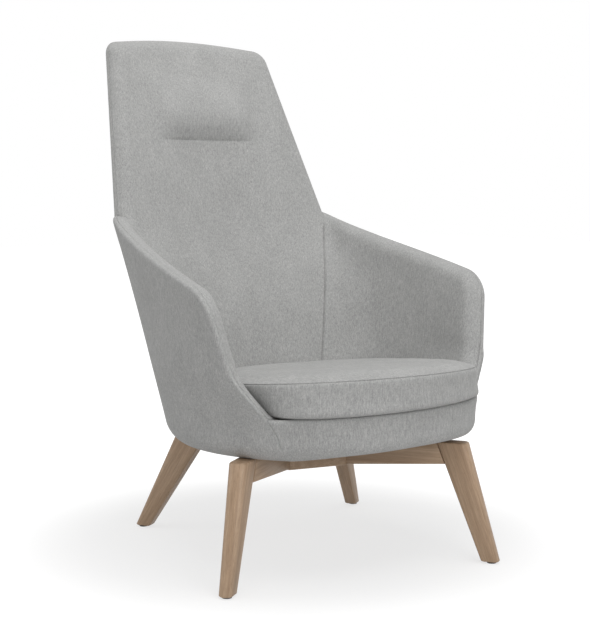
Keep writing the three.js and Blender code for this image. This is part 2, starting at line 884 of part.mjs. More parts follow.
function screw(headLow, direction) {
  const headFace = headLow + direction * screwHeadHeight;
  const tip = headFace + direction * (plateThickness + screwReach - screwHeadHeight / 2);
  const profile = [
    [0, headLow],
    [screwHeadRadius, headLow],
    [screwHeadRadius, headFace],
    [screwRadius, headFace],
    [screwRadius, tip],
    [0, tip],
  ];
  return turned(direction > 0 ? profile : profile.reverse(), fastenerSides);
}

const lowerPlate = swivelPlate(lowerPlateHalf, spindleBore, lowerScrewSpread);
const upperPlate = swivelPlate(upperPlateHalf, spindleBore, upperScrewSpread);
const lowerPlateBoard = board(lowerPlate, lowerPlateLow, plateThickness, plateCurveSteps);
const upperPlateBoard = board(upperPlate, upperPlateLow, plateThickness, plateCurveSteps);
place('swivel_lower_plate', lowerPlateBoard, blackSteel, base);
place('swivel_upper_plate', upperPlateBoard, blackSteel, seat);
place('swivel_spindle', turned([
  [0, baseTopHeight - socketDepth + touchGap],
  [spindleRadius, baseTopHeight - socketDepth + touchGap],
  [spindleRadius, flangeLow],
  [flangeRadius, flangeLow],
  [flangeRadius, flangeLow + flangeThickness],
  [spindleRadius, flangeLow + flangeThickness],
  [spindleRadius, spindleTop],
  [0, spindleTop],
]), zincSteel, base);
const washer = ring(spindleBore, washerRadius, washerLow, washerLow + washerThickness);
const housing = ring(spindleBore, housingRadius, housingLow, upperPlateLow - touchGap);
place('swivel_thrust_washer', washer, nylon, base);
place('swivel_housing', housing, blackSteel, seat);
place('swivel_retainer', ring(
  spindleBore,
  retainerRadius,
  retainerLow,
  retainerLow + retainerHeight,
), zincSteel, seat);

const sideNames = ['rear_right', 'rear_left', 'front_left', 'front_right'];
fourCorners(upperScrewSpread).forEach(([x, y], step) => {
  const headLow = upperPlateLow - touchGap - screwHeadHeight;
  const mesh = place(`upper_plate_screw_${sideNames[step]}`, screw(headLow, 1), zincSteel, seat);
  mesh.position.set(x, y, 0);
});
const lowerScrewHead = lowerPlateLow + plateThickness + touchGap + screwHeadHeight;
fourCorners(lowerScrewSpread).forEach(([x, y], step) => {
  const mesh = place(`lower_plate_screw_${sideNames[step]}`, screw(lowerScrewHead, -1), zincSteel, base);
  mesh.position.set(x, y, 0);
});

// Wooden base: each corner is drawn along +X and turned to its bearing
const corners = [
  { name: 'front_right', front: true, bearing: -frontBearing },
  { name: 'front_left', front: true, bearing: frontBearing - 180 },
  { name: 'rear_right', front: false, bearing: rearBearing },
  { name: 'rear_left', front: false, bearing: 180 - rearBearing },
];
const legFootHeight = glideHeight + touchGap;

// A rectangle with rounded corners, as points around it
function roundedRectangle(lowX, highX, halfWidth, innerRadius, outerRadius) {
  const turn = Math.PI / 2;
  const arcs = [
    [highX - outerRadius, halfWidth - outerRadius, outerRadius, 0],
    [lowX + innerRadius, halfWidth - innerRadius, innerRadius, turn],
    [lowX + innerRadius, innerRadius - halfWidth, innerRadius, 2 * turn],
    [highX - outerRadius, outerRadius - halfWidth, outerRadius, 3 * turn],
  ];
  return arcs.flatMap(([x, y, radius, start]) => evenly(start, start + turn, cornerSteps).map((angle) => (
    new THREE.Vector2(x + radius * Math.cos(angle), y + radius * Math.sin(angle))
  )));
}

function legShape(front) {
  const topRadius = front ? frontLegTopRadius : rearLegTopRadius;
  const footRadius = front ? frontFootRadius : rearFootRadius;
  const topDepth = front ? frontLegTopDepth : rearLegTopDepth;
  return {
    inner(height) {
      const part = height / baseTopHeight;
      return mix(footRadius - legFootDepth / 2, topRadius - topDepth / 2, part);
    },
    outer(height) {
      const part = height / baseTopHeight;
      return mix(footRadius + legFootDepth / 2, topRadius + topDepth / 2, part);
    },
  };
}

function legRing(shape, height, inset) {
  const halfWidth = mix(legFootWidth, legTopWidth, height / baseTopHeight) / 2 - inset;
  const low = shape.inner(height) + inset;
  const high = shape.outer(height) - inset;
  return roundedRectangle(low, high, halfWidth, legInnerRounding, legOuterRounding)
    .map((point) => new THREE.Vector3(point.x, point.y, height));
}

function leg(shape) {
  return loft([
    legRing(shape, legFootHeight, endChamfer),
    legRing(shape, legFootHeight + endChamfer, 0),
    legRing(shape, baseTopHeight - endChamfer, 0),
    legRing(shape, baseTopHeight, endChamfer),
  ]);
}

// A rail's ring at one end: its corner points stand over each other, and reach says how far out
function railRing(lowHeight, reachAt) {
  const ringPoints = roundedRectangle(lowHeight, baseTopHeight, railWidth / 2, railRounding, railRounding);
  return ringPoints.map((point) => new THREE.Vector3(reachAt(point.x), point.y, point.x));
}

function rail(shape) {
  const hubEnd = hubCornerRadius + touchGap;
  return loft([
    railRing(baseTopHeight - railHubHeight, () => hubEnd),
    railRing(baseTopHeight - railLegHeight, (height) => shape.inner(height) - seamGap),
  ], (point) => new THREE.Vector2(point.y, point.z));
}

const studHeight = baseTopHeight - studDrop;

function studBore(reach) {
  const half = studLength / 2 + boreGap;
  return rod(studRadius + boreGap, -half, half).rotateY(Math.PI / 2).translate(reach, 0, studHeight);
}

function placeStud(name, reach, parent) {
  const stud = place(name, rod(studRadius, -studLength / 2, studLength / 2), zincSteel, parent);
  stud.rotation.y = Math.PI / 2;
  stud.position.set(reach, 0, studHeight);
}

for (const corner of corners) {
  const group = new THREE.Group();
  group.rotation.z = THREE.MathUtils.degToRad(corner.bearing);
  base.add(group);
  const shape = legShape(corner.front);
  const legJoint = shape.inner(studHeight);
  place(`leg_${corner.name}`, cut(leg(shape), [studBore(legJoint)]), oiledWood, group);
  const bores = [studBore(legJoint), studBore(hubCornerRadius)];
  place(`rail_${corner.name}`, cut(rail(shape), bores), oiledWood, group);
  placeStud(`leg_stud_${corner.name}`, legJoint, group);
  placeStud(`hub_stud_${corner.name}`, hubCornerRadius, group);
  const glide = place(`glide_${corner.name}`, rod(glideRadius, 0, glideHeight, turnedSides), felt, group);
  glide.position.x = (shape.inner(0) + shape.outer(0)) / 2;
}

// Hub: its chamfered corners are as wide as the rails that butt against them
function hubOutline() {
  const around = [corners[1], corners[0], corners[2], corners[3]];
  return around.flatMap((corner) => {
    const bearing = THREE.MathUtils.degToRad(corner.bearing);
    const middle = new THREE.Vector2(Math.cos(bearing), Math.sin(bearing)).multiplyScalar(hubCornerRadius);
    const across = new THREE.Vector2(-Math.sin(bearing), Math.cos(bearing)).multiplyScalar(railWidth / 2);
    return [middle.clone().sub(across), middle.clone().add(across)];
  });
}

const hubSpindleBore = rod(spindleBore, baseTopHeight - socketDepth, baseTopHeight + cutOverrun, turnedSides);
const hubStudBores = corners.map((corner) => (
  studBore(hubCornerRadius).rotateZ(THREE.MathUtils.degToRad(corner.bearing))
));
const hubScrewBores = fourCorners(lowerScrewSpread).map(([x, y]) => (
  rod(screwRadius + boreGap, baseTopHeight - screwReach - boreGap, baseTopHeight + cutOverrun)
    .translate(x, y, 0)
));
const hubBlock = new THREE.ExtrudeGeometry(new THREE.Shape(hubOutline()), {
  depth: hubHeight - 2 * endChamfer,
  bevelThickness: endChamfer,
  bevelSize: endChamfer,
  bevelOffset: -endChamfer,
  bevelSegments: 1,
}).translate(0, 0, baseTopHeight - hubHeight + endChamfer);
place('hub', cut(hubBlock, [hubSpindleBore, ...hubStudBores, ...hubScrewBores]), oiledWood, base);

// The chair stands on the floor with its bounding box centred on the origin
const extent = new THREE.Box3().setFromObject(chair, true);
const middle = extent.getCenter(new THREE.Vector3());
chair.position.set(-middle.x, -middle.y, -extent.min.z);

export default chair;
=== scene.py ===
# A high back lounge chair: the upholstery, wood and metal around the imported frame.
# Shapes are worked out in millimetres around the swivel axis, as the frame's walls are, and
# turned to metres when their mesh is made. The shell faces -Y.

import json
import math

import bmesh
import bpy
import numpy as np
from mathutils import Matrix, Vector
from mathutils.kdtree import KDTree


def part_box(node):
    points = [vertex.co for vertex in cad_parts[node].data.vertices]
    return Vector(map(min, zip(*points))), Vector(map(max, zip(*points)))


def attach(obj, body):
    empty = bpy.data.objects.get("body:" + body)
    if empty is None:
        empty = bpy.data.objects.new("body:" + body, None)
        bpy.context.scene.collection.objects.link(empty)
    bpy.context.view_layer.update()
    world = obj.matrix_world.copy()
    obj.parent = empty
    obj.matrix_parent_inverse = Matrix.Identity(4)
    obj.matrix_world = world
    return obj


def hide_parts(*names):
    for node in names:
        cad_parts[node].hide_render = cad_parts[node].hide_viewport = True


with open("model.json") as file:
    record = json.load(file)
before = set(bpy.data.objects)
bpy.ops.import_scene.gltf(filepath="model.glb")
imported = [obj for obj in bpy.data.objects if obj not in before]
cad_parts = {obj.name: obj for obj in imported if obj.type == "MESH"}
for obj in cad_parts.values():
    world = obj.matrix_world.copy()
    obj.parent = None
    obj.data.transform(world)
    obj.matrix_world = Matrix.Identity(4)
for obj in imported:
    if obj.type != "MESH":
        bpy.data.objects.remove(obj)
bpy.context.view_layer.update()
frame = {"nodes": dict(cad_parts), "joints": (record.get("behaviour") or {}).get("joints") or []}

MM = 0.001
NEARLY_ZERO = 1e-9
AXIS_X, AXIS_Y, _ = frame["joints"][0]["pos_m"]
SIDES = {"right": 1, "left": -1}
CORNERS = ("front_right", "front_left", "rear_right", "rear_left")

# Lines of the shell, as in the frame
TOUCH_GAP = 0.3
SEAM_GAP = 0.5
UNDERSIDE_HEIGHT = 260
UNDERSIDE_RADIUS = 34
UNDERSIDE_LIP = 30
BOARD_THICKNESS = 15
KNEE_HEIGHT = UNDERSIDE_HEIGHT + UNDERSIDE_RADIUS
PAD_FOOT_HEIGHT = KNEE_HEIGHT + BOARD_THICKNESS + TOUCH_GAP
SEAT_LINE_HEIGHT = 372
SHOULDER_HEIGHT = 730
BACK_CORNER_HEIGHT = 1125
BACK_CROWN = 17
BACK_TOP_HEIGHT = BACK_CORNER_HEIGHT + BACK_CROWN
BACK_LOW_DEPTH = 236
BACK_TOP_DEPTH = 466
BACK_CORNER = (229, 430)
BACK_CORNER_RADIUS = 30
SHOULDER = (304, 281)
SEAT_LINE = (216, 203)
ARM_FRONT_HEIGHT = 590
ARM_FRONT_HALF_WIDTH = 403
ARM_FRONT_REACH = 191
ARM_FLARE_SLOPE = 0.25
ARM_RAKE_SLOPE = 0.2
ARM_TUCK_HEIGHTS = (300, 440)
ARM_TUCK_WIDTH = 52
ARM_TUCK_REACH = 18
ARM_CORNER_RADIUS = 48
ARM_RIM_RISE = 168
ARM_SHOULDER_FADE = 0.2
ARM_REAR_HANDLES = (117, 42)
ARM_FRONT_HANDLE = 180
ARM_SEAM_SPREAD = 0.55
ARM_TOE_INS = (55, -54)
RAIL_REACH = 383
RAIL_CORNER_TURN = math.radians(40)
RAIL_HANDLES = (120, 140)
RAIL_TOP_HEIGHT = 349
DECK_SLOPE = 0.05

# The turned edge under the shell hangs lower than the frame's at the sides, and is higher at the
# front. It goes from one to the other between two distances ahead of the axis.
RIM_DROP = 5
RIM_FRONT_RISE = 7
RIM_RISE_REACH = (260, 385)

# Layers of the upholstery
EDGE_BAND = 46
RIM_THICKNESS = 44
LOW_PAD_DEPTH = 86
MID_PAD_DEPTH = 58
LOW_PAD_HEIGHT = 480
MID_PAD_HEIGHT = 760
PUFF_FADE = 150
COVER_THICKNESS = 12
COVER_EDGE = 1
SEAM_DEPTH = COVER_THICKNESS + TOUCH_GAP
FRAME_THICKNESS = 12
PAD_OUTER_DEPTH = SEAM_DEPTH + FRAME_THICKNESS + TOUCH_GAP
PAD_EDGE = 2
PAD_ROLL = 32
PAD_OUTER_BAND = (19, 31)
FOOT_SQUARENESS = 36
FOOT_SQUARE_RISE = 90
ROLL_POWER = 2.6
ARM_PAD_FADE = 0.55

# Headrest: a swelling above a sewn line, gathered a little along it
TUFT_HEIGHT = 903
TUFT_HALF_WIDTH = 113
TUFT_BULGE = 19
TUFT_RISE = 60
TUFT_FADE = 100
TUFT_END_FADE = 36
TUFT_SWELL_ENDS = (88, 172)
TUFT_GROOVE = 1.4
TUFT_GROOVE_WIDTH = 3
PUCKER_DEPTH = 0.9
PUCKER_PITCH = 19
PUCKER_FADE = 40
PUCKER_START = (TUFT_HEIGHT - 2, TUFT_HEIGHT + 6)
# Each set of folds: its strength, how many folds it has for each pitch, how far they wander to
# the side, in radians, and the length that they wander over
PUCKER_FOLDS = ((1, 1, 1.4, 29), (0.5, 2.3, 1.9, 37))

# Seams: the cloth dips where two pieces are sewn together
PAD_SEAM_DIP = 3.4
PAD_SEAM_SPREAD = 2.2
COVER_SEAM_DIP = 1.8
COVER_SEAM_SPREAD = 1.8
CUSHION_SEAM_GROOVE = 2.5
SIDE_SEAM_END = (SHOULDER_HEIGHT - 40, SHOULDER_HEIGHT + 20)
RAIL_SEAM_END = (RAIL_TOP_HEIGHT, RAIL_TOP_HEIGHT + 12)
FAR_FROM_SEAMS = 1000

# Slow waves that keep the stuffed faces from being perfectly even, and the distance from the rim
# over which they set in. Each wave: its run along X, Z and Y, its phase and its strength.
UNEVENNESS = 0.7
UNEVEN_BAND = (10, 60)
UNEVEN_WAVES = (
    (47, 83, math.inf, 0.7, 1),
    (math.inf, -59, 41, 2.1, 1),
    (23, -31, 37, 4.2, 0.5),
)

# Cushion: it lies a little to the left, and its right side is lower. A bow is the line of its
# front edge: how deep its corners lie inside the arms, its turn there and its two handles.
CUSHION_GAP = 5
CUSHION_LIFT = 0.6
CUSHION_REACH = 398
CUSHION_SEAM_FRONT = 419
CUSHION_SEAM_SLOPE = 0.088
CUSHION_LEAN = 0.018
CUSHION_SHIFT = -4.5
CUSHION_CROWN = 11
CUSHION_CROWN_POWER = 13
CUSHION_BASE_BOW = (30, math.radians(-20), (60, 200))
CUSHION_SEAM_BOW = (44, math.radians(8), (85, 178))
CUSHION_BULGE = 3
CUSHION_SEAM_TUCK = 2
CUSHION_SEAM_RISE = 4
CUSHION_CENTRE_DEPTH = -90
BOXING_BULGE_POWER = 0.5


# Numbers and plane curves

def mix(low, high, part):
    return low + (high - low) * part


def smooth(value, low, high):
    part = np.clip((value - low) / (high - low), 0, 1)
    return part * part * (3 - 2 * part)


def unit(x, y):
    length = np.hypot(x, y)
    return x / length, y / length


def bezier(handles, part):
    a, b, c, d = handles
    rest = 1 - part
    return rest**3 * a + 3 * rest**2 * part * b + 3 * rest * part**2 * c + part**3 * d


def bezier_heading(handles, part):
    a, b, c, d = handles
    rest = 1 - part
    return rest**2 * (b - a) + 2 * rest * part * (c - b) + part**2 * (d - c)


def band_share(part):
    """How much of a band is left at this part of it: the steps get shorter towards its edge."""
    return 1 - np.sin(np.clip(part, 0, 1) * math.pi / 2)


# Walls of the shell. A column runs across the back from -2 to 2, along an arm from 0 at the
# back seam to 2 at its front edge, and across the rail from -1 to 1. A rise runs from -2 under
# the shell over 0 at its knee to 3 at the rim. Beyond column 1 of the back and the arms, and
# above rise 2, lies the band along the edge, whose steps get shorter towards it. A plan gives
# points at these columns and heights, and the unit direction from them into the shell.

def row_height(rise, band_start, rim):
    low = np.where(
        rise <= 1,
        mix(KNEE_HEIGHT, PAD_FOOT_HEIGHT, rise),
        mix(PAD_FOOT_HEIGHT, band_start, rise - 1),
    )
    return np.where(rise > 2, mix(rim, band_start, band_share(rise - 2)), low)


def back_depth(height):
    share = (height - KNEE_HEIGHT) / (BACK_TOP_HEIGHT - KNEE_HEIGHT)
    return mix(BACK_LOW_DEPTH, BACK_TOP_DEPTH, share)


def back_edge(height):
    low = (height - SEAT_LINE_HEIGHT) / (SHOULDER_HEIGHT - SEAT_LINE_HEIGHT)
    high = (height - SHOULDER_HEIGHT) / (BACK_CORNER_HEIGHT - SHOULDER_HEIGHT)
    below = height < SHOULDER_HEIGHT
    return [
        np.where(below, mix(SEAT_LINE[i], SHOULDER[i], low), mix(SHOULDER[i], BACK_CORNER[i], high))
        for i in (0, 1)
    ]


def back_top(column):
    end = BACK_CORNER[0] - SEAM_GAP - BACK_CORNER_RADIUS
    across = np.abs(column)
    in_band = end - EDGE_BAND * band_share(across - 1)
    reach = np.where(across > 1, in_band, across * (end - EDGE_BAND))
    return BACK_TOP_HEIGHT - BACK_CROWN * (reach / BACK_CORNER[0]) ** 2


BACK_BAND_HEIGHT = float(back_top(2)) - EDGE_BAND


def back_height(column, rise):
    return row_height(rise, BACK_BAND_HEIGHT, back_top(column))


def back_plan(column, height):
    edge_x, edge_y = back_edge(height)
    up = 1 - np.clip((back_top(2) - height) / BACK_CORNER_RADIUS, 0, 1)
    half = edge_x - SEAM_GAP - BACK_CORNER_RADIUS * (1 - np.sqrt(1 - up**2))
    in_band = np.abs(column) - 1
    x = np.where(
        in_band > 0,
        np.sign(column) * (half - EDGE_BAND * band_share(in_band)),
        column * (half - EDGE_BAND),
    )
    depth = back_depth(height)
    sag = depth - edge_y
    inward = unit(-2 * sag * x / edge_x**2, np.full_like(x, -1))
    return x, depth - sag * (x / edge_x) ** 2, *inward


def arm_front(height, tucked=1):
    """The arm's front edge: going up it leans out and back, and its foot is tucked in."""
    down = ARM_FRONT_HEIGHT - height
    tuck = tucked * (1 - smooth(height, *ARM_TUCK_HEIGHTS))
    return (
        ARM_FRONT_HALF_WIDTH - ARM_FLARE_SLOPE * down - ARM_TUCK_WIDTH * tuck,
        -ARM_FRONT_REACH - ARM_RAKE_SLOPE * down - ARM_TUCK_REACH * tuck,
    )


def arm_curve(height):
    start_x, start_y = back_edge(height)
    slope = 2 * (back_depth(height) - start_y) / start_x
    heading_x, heading_y = unit(np.ones_like(slope), -slope)
    part = (height - SEAT_LINE_HEIGHT) / (SHOULDER_HEIGHT - SEAT_LINE_HEIGHT)
    end_x, end_y = arm_front(height)
    side_x, side_y = arm_front(height, 0)
    rear = mix(*ARM_REAR_HANDLES, part)
    return (
        (start_x, start_x + heading_x * rear, side_x + mix(*ARM_TOE_INS, part), end_x),
        (start_y, start_y + heading_y * rear, side_y + ARM_FRONT_HANDLE, end_y),
    )


# A cubic curve runs three times its last handle at its end
ARM_END_SPEED = 3 * ARM_FRONT_HANDLE


def arm_along(column):
    band = EDGE_BAND / ARM_END_SPEED
    return np.where(column <= 1, column * (1 - band), 1 - band * band_share(column - 1))


def arm_rim(along):
    line = mix(ARM_FRONT_HEIGHT + ARM_RIM_RISE, ARM_FRONT_HEIGHT, along)
    lift = SHOULDER_HEIGHT - ARM_FRONT_HEIGHT - ARM_RIM_RISE
    past = np.clip(ARM_CORNER_RADIUS - (1 - along) * ARM_END_SPEED, 0, ARM_CORNER_RADIUS)
    drop = ARM_CORNER_RADIUS - np.sqrt(ARM_CORNER_RADIUS**2 - past**2)
    return line + lift * np.exp(-along / ARM_SHOULDER_FADE) - drop


def arm_height(column, rise):
    rim = arm_rim(arm_along(column))
    return row_height(rise, rim - EDGE_BAND, rim)


def rail_inward(column):
    angle = mix(math.pi / 2, RAIL_CORNER_TURN / 2, np.abs(column))
    return -np.sign(column) * np.cos(angle), np.sin(angle)


def arm_plan(column, height):
    xs, ys = arm_curve(height)
    along = arm_along(column)
    heading = unit(bezier_heading(xs, along), bezier_heading(ys, along))
    seam = unit(xs[1] - xs[0], ys[1] - ys[0])
    spread = 1 - smooth(column, 0, ARM_SEAM_SPREAD)
    inward = unit(mix(heading[1], seam[1], spread), mix(-heading[0], -seam[0], spread))
    rail_x, rail_y = rail_inward(np.ones(1))
    turn = smooth(column, 1, 2)
    inward = unit(mix(inward[0], rail_x, turn), mix(inward[1], rail_y, turn))
    return bezier(xs, along), bezier(ys, along), *inward


def front_bow(corner_x, corner_y, turn, handles, reach, part):
    """Half of a front edge, from its corner to the middle, as far ahead of the axis as given."""
    side = handles[0] * math.sin(turn)
    ahead = handles[0] * math.cos(turn)
    xs = (corner_x, corner_x - side, handles[1], 0)
    ys = (corner_y, corner_y - ahead, -reach, -reach)
    return bezier(xs, part), bezier(ys, part)


def deck_height(depth):
    return RAIL_TOP_HEIGHT - DECK_SLOPE * (depth + RAIL_REACH)


def rail_plan(column, height):
    end_x, end_y = arm_front(height)
    part = 1 - np.abs(column)
    x, y = front_bow(end_x, end_y - SEAM_GAP, RAIL_CORNER_TURN, RAIL_HANDLES, RAIL_REACH, part)
    in_x, in_y = rail_inward(column)
    return np.sign(column) * x, y, in_x + 0 * x, in_y + 0 * y


def rail_top(column):
    return deck_height(rail_plan(column, np.full_like(column, RAIL_TOP_HEIGHT))[1]) - TOUCH_GAP


def rail_height(column, rise):
    top = rail_top(column)
    return row_height(rise, top - COVER_THICKNESS, top)


BACK = (back_height, back_plan)
ARM = (arm_height, arm_plan)
RAIL = (rail_height, rail_plan)


def wall_point(patch, column, rise, depth):
    """Points of a wall at these columns and rises, at a depth from the shell's outer face."""
    height_at, plan_at = patch
    under = np.maximum(-rise, 0)
    angle = np.minimum(under, 1) * math.pi / 2
    radius = UNDERSIDE_RADIUS - depth
    lip = np.maximum(under - 1, 0) * UNDERSIDE_LIP
    height = np.where(under > 0, KNEE_HEIGHT - radius * np.sin(angle), height_at(column, rise))
    inset = np.where(under > 0, UNDERSIDE_RADIUS - radius * np.cos(angle) + lip, depth)
    x, y, in_x, in_y = plan_at(column, height)
    turned = smooth(np.minimum(under, 2 - under), 0, 1)
    rise_at_front = (RIM_DROP + RIM_FRONT_RISE) * smooth(-y, *RIM_RISE_REACH)
    lower_rim = turned * (rise_at_front - RIM_DROP)
    return np.stack([x + in_x * inset, y + in_y * inset, height + lower_rim], axis=-1)


def parts(low, high, steps):
    return np.linspace(low, high, steps + 1)


# Columns and rows of the walls' meshes: finer beside the seams, at the rim and at the tuft
BAND_STEPS = 12
LIP_STEPS = 3
KNEE_STEPS = 8
BACK_STEPS = 72
ARM_STEPS = 56
ARM_ROW_STEPS = 44
RAIL_STEPS = 84
RAIL_ROW_STEPS = 8
RIM_LINE_STEPS = 16
SEAM_COLUMNS = np.array([0, 0.002, 0.005, 0.009, 0.014, 0.021, 0.032, 0.05, 0.072, 0.095])
ARM_FROM_SEAM = 0.12
RAIL_TO_SEAM = 0.88
ABOVE_KNEE = 0.5
TUFT_ROW = 1 + (TUFT_HEIGHT - PAD_FOOT_HEIGHT) / (BACK_BAND_HEIGHT - PAD_FOOT_HEIGHT)
TUFT_ROWS = (TUFT_ROW - 0.03, TUFT_ROW + 0.08)
BACK_ROW_STEPS = (66, 44, 22)

band = parts(0, 1, BAND_STEPS)[1:]
under_rows = np.concatenate([
    parts(-2, -1, LIP_STEPS)[:-1], parts(-1, 0, KNEE_STEPS), [ABOVE_KNEE],
])
back_columns = np.concatenate([-1 - band[::-1], parts(-1, 1, BACK_STEPS), 1 + band])
arm_columns = np.concatenate([SEAM_COLUMNS, parts(ARM_FROM_SEAM, 1, ARM_STEPS), 1 + band])
rail_columns = np.concatenate([
    SEAM_COLUMNS - 1, parts(-RAIL_TO_SEAM, RAIL_TO_SEAM, RAIL_STEPS), 1 - SEAM_COLUMNS[::-1],
])
arm_rows = np.concatenate([parts(1, 2, ARM_ROW_STEPS), 2 + band])
rail_rows = np.concatenate([parts(1, 2, RAIL_ROW_STEPS), 2 + band])
back_rows = np.concatenate([
    parts(1, TUFT_ROWS[0], BACK_ROW_STEPS[0])[:-1],
    parts(*TUFT_ROWS, BACK_ROW_STEPS[1])[:-1],
    parts(TUFT_ROWS[1], 2, BACK_ROW_STEPS[2]),
    2 + band,
])


def rim_line():
    """The rim of one half of the shell, from the rail up the arm's front to the back's middle."""
    arm_end = float(arm_height(np.full(1, 2.0), np.full(1, 3.0))[0])
    heights = parts(RAIL_TOP_HEIGHT, arm_end, RIM_LINE_STEPS)
    front = np.stack([*arm_front(heights), heights], axis=-1)
    arm_top = wall_point(ARM, arm_columns[::-1], np.full(len(arm_columns), 3.0), 0)
    heights = parts(SHOULDER_HEIGHT, BACK_BAND_HEIGHT, RIM_LINE_STEPS)
    side = np.stack([*back_plan(np.full(len(heights), 2.0), heights)[:2], heights], axis=-1)
    corner = wall_point(BACK, np.full(BAND_STEPS, 2.0), 2 + band, 0)
    across = back_columns[back_columns >= 0][::-1]
    top = wall_point(BACK, across, np.full(len(across), 3.0), 0)
    return np.concatenate([front, arm_top, side, corner, top])


rim_points = rim_line()


def to_rim(points):
    """Distance in millimetres from each point to the rim of its own half of the shell."""
    right = np.array(points, float)
    right[..., 0] = np.abs(right[..., 0])
    nearest = np.full(right.shape[:-1], np.inf)
    for start, end in zip(rim_points[:-1], rim_points[1:]):
        along = end - start
        share = np.clip(((right - start) @ along) / max(along @ along, NEARLY_ZERO), 0, 1)
        gap = np.linalg.norm(right - start - share[..., None] * along, axis=-1)
        nearest = np.minimum(nearest, gap)
    return nearest


def to_rounded_edge(points):
    """The distance that rounds a cover's edge off: less towards the rail, where it is sewn."""
    square = 1 - smooth(points[..., 2], RAIL_TOP_HEIGHT, RAIL_TOP_HEIGHT + FOOT_SQUARE_RISE)
    return to_rim(points) + FOOT_SQUARENESS * square


def roll(distance, radius):
    part = np.clip(1 - distance / radius, 0, 1)
    return (1 - part**ROLL_POWER) ** (1 / ROLL_POWER)


def to_side_seam(face):
    """Distance in plan to the seam between the back and an arm, and none above the shoulder."""
    edge_x, edge_y = back_edge(face[..., 2])
    distance = np.hypot(np.abs(face[..., 0]) - edge_x, face[..., 1] - edge_y)
    return distance + FAR_FROM_SEAMS * smooth(face[..., 2], *SIDE_SEAM_END)


def to_rail_seam(face):
    """Distance in plan to the seam between an arm and the front rail, below the rail's top."""
    end_x, end_y = arm_front(face[..., 2])
    distance = np.hypot(np.abs(face[..., 0]) - end_x, face[..., 1] - end_y)
    return distance + FAR_FROM_SEAMS * smooth(face[..., 2], *RAIL_SEAM_END)


def dip(distance, depth, spread):
    return depth * np.exp(-((distance / spread) ** 2))


def unevenness(face):
    x, y, z = face[..., 0], face[..., 1], face[..., 2]
    return UNEVENNESS * sum(
        strength * np.sin(x / run_x + z / run_z + y / run_y + phase)
        for run_x, run_z, run_y, phase, strength in UNEVEN_WAVES
    )


# Faces of the layers, as depths from the shell's outer face

def rolled_cover(distance):
    return (COVER_THICKNESS - COVER_EDGE) * (1 - roll(distance, COVER_THICKNESS))


def cover_face(face, column):
    rolled = rolled_cover(to_rounded_edge(face))
    sewn = dip(to_side_seam(face), COVER_SEAM_DIP, COVER_SEAM_SPREAD)
    return rolled + sewn + dip(to_rail_seam(face), COVER_SEAM_DIP, COVER_SEAM_SPREAD)


def rail_face(face, column):
    rolled = rolled_cover(rail_top(column) - face[..., 2])
    return rolled + dip(to_rail_seam(face), COVER_SEAM_DIP, COVER_SEAM_SPREAD)


def cover_back(face, column):
    return np.full(column.shape, float(COVER_THICKNESS))


def pad_face(face, along):
    """Front of the padding: thick low down and over the back, thinner high up and to the front."""
    share = smooth(face[..., 2], LOW_PAD_HEIGHT, MID_PAD_HEIGHT)
    middle = mix(LOW_PAD_DEPTH, MID_PAD_DEPTH, share)
    full = mix(middle, RIM_THICKNESS, smooth(along, 0, ARM_PAD_FADE))
    distance = to_rim(face)
    puffed = mix(RIM_THICKNESS, full, smooth(distance, 0, PUFF_FADE))
    edge = SEAM_DEPTH + PAD_EDGE
    depth = edge + (puffed - edge) * roll(distance, PAD_ROLL)
    uneven = unevenness(face) * smooth(distance, *UNEVEN_BAND)
    return depth + uneven - dip(to_side_seam(face), PAD_SEAM_DIP, PAD_SEAM_SPREAD)


def pad_back(face, column):
    return mix(SEAM_DEPTH, PAD_OUTER_DEPTH, smooth(to_rim(face), *PAD_OUTER_BAND))


def puckers(x, z):
    """Small folds above the tuft's seam, where its cloth is gathered."""
    phase = x / PUCKER_PITCH * 2 * math.pi
    folds = sum(
        strength * np.sin(times * phase + wander * np.sin(x / wander_run))
        for strength, times, wander, wander_run in PUCKER_FOLDS
    )
    above = np.maximum(z - TUFT_HEIGHT, 0)
    return folds * np.exp(-((above / PUCKER_FADE) ** 2)) * smooth(z, *PUCKER_START)


def tuft(face):
    x, z = face[..., 0], face[..., 2]
    reach = np.abs(x)
    ends = 1 - smooth(reach, TUFT_HALF_WIDTH - TUFT_END_FADE, TUFT_HALF_WIDTH + TUFT_END_FADE)
    above = np.maximum(z - TUFT_HEIGHT, 0)
    swell = np.sin(np.minimum(above / TUFT_RISE, 1) * math.pi / 2)
    fade = 1 - smooth(above, TUFT_RISE, TUFT_RISE + TUFT_FADE)
    groove = np.exp(-(((z - TUFT_HEIGHT) / TUFT_GROOVE_WIDTH) ** 2))
    swell_ends = 1 - smooth(reach, *TUFT_SWELL_ENDS)
    sewn = ends * (PUCKER_DEPTH * puckers(x, z) - TUFT_GROOVE * groove)
    return swell_ends * TUFT_BULGE * swell * fade + sewn


def back_pad_face(face, column):
    return pad_face(face, 0 * column) + tuft(face)


def arm_pad_face(face, column):
    return pad_face(face, arm_along(column))


# Meshes

SAME_POINT_M = 1e-6
NO_LENGTH_M = 1e-7


def to_metres(points):
    scaled = np.asarray(points, float).reshape(-1, 3) * MM
    scaled[:, :2] += (AXIS_X, AXIS_Y)
    return scaled


def new_object(name, points, faces):
    mesh = bpy.data.meshes.new(name)
    mesh.from_pydata([tuple(point) for point in points], [], faces)
    made = bpy.data.objects.new(name, mesh)
    bpy.context.scene.collection.objects.link(made)
    return made


def vertex_positions(mesh):
    positions = np.empty(len(mesh.vertices) * 3)
    mesh.vertices.foreach_get("co", positions)
    return positions.reshape(-1, 3)


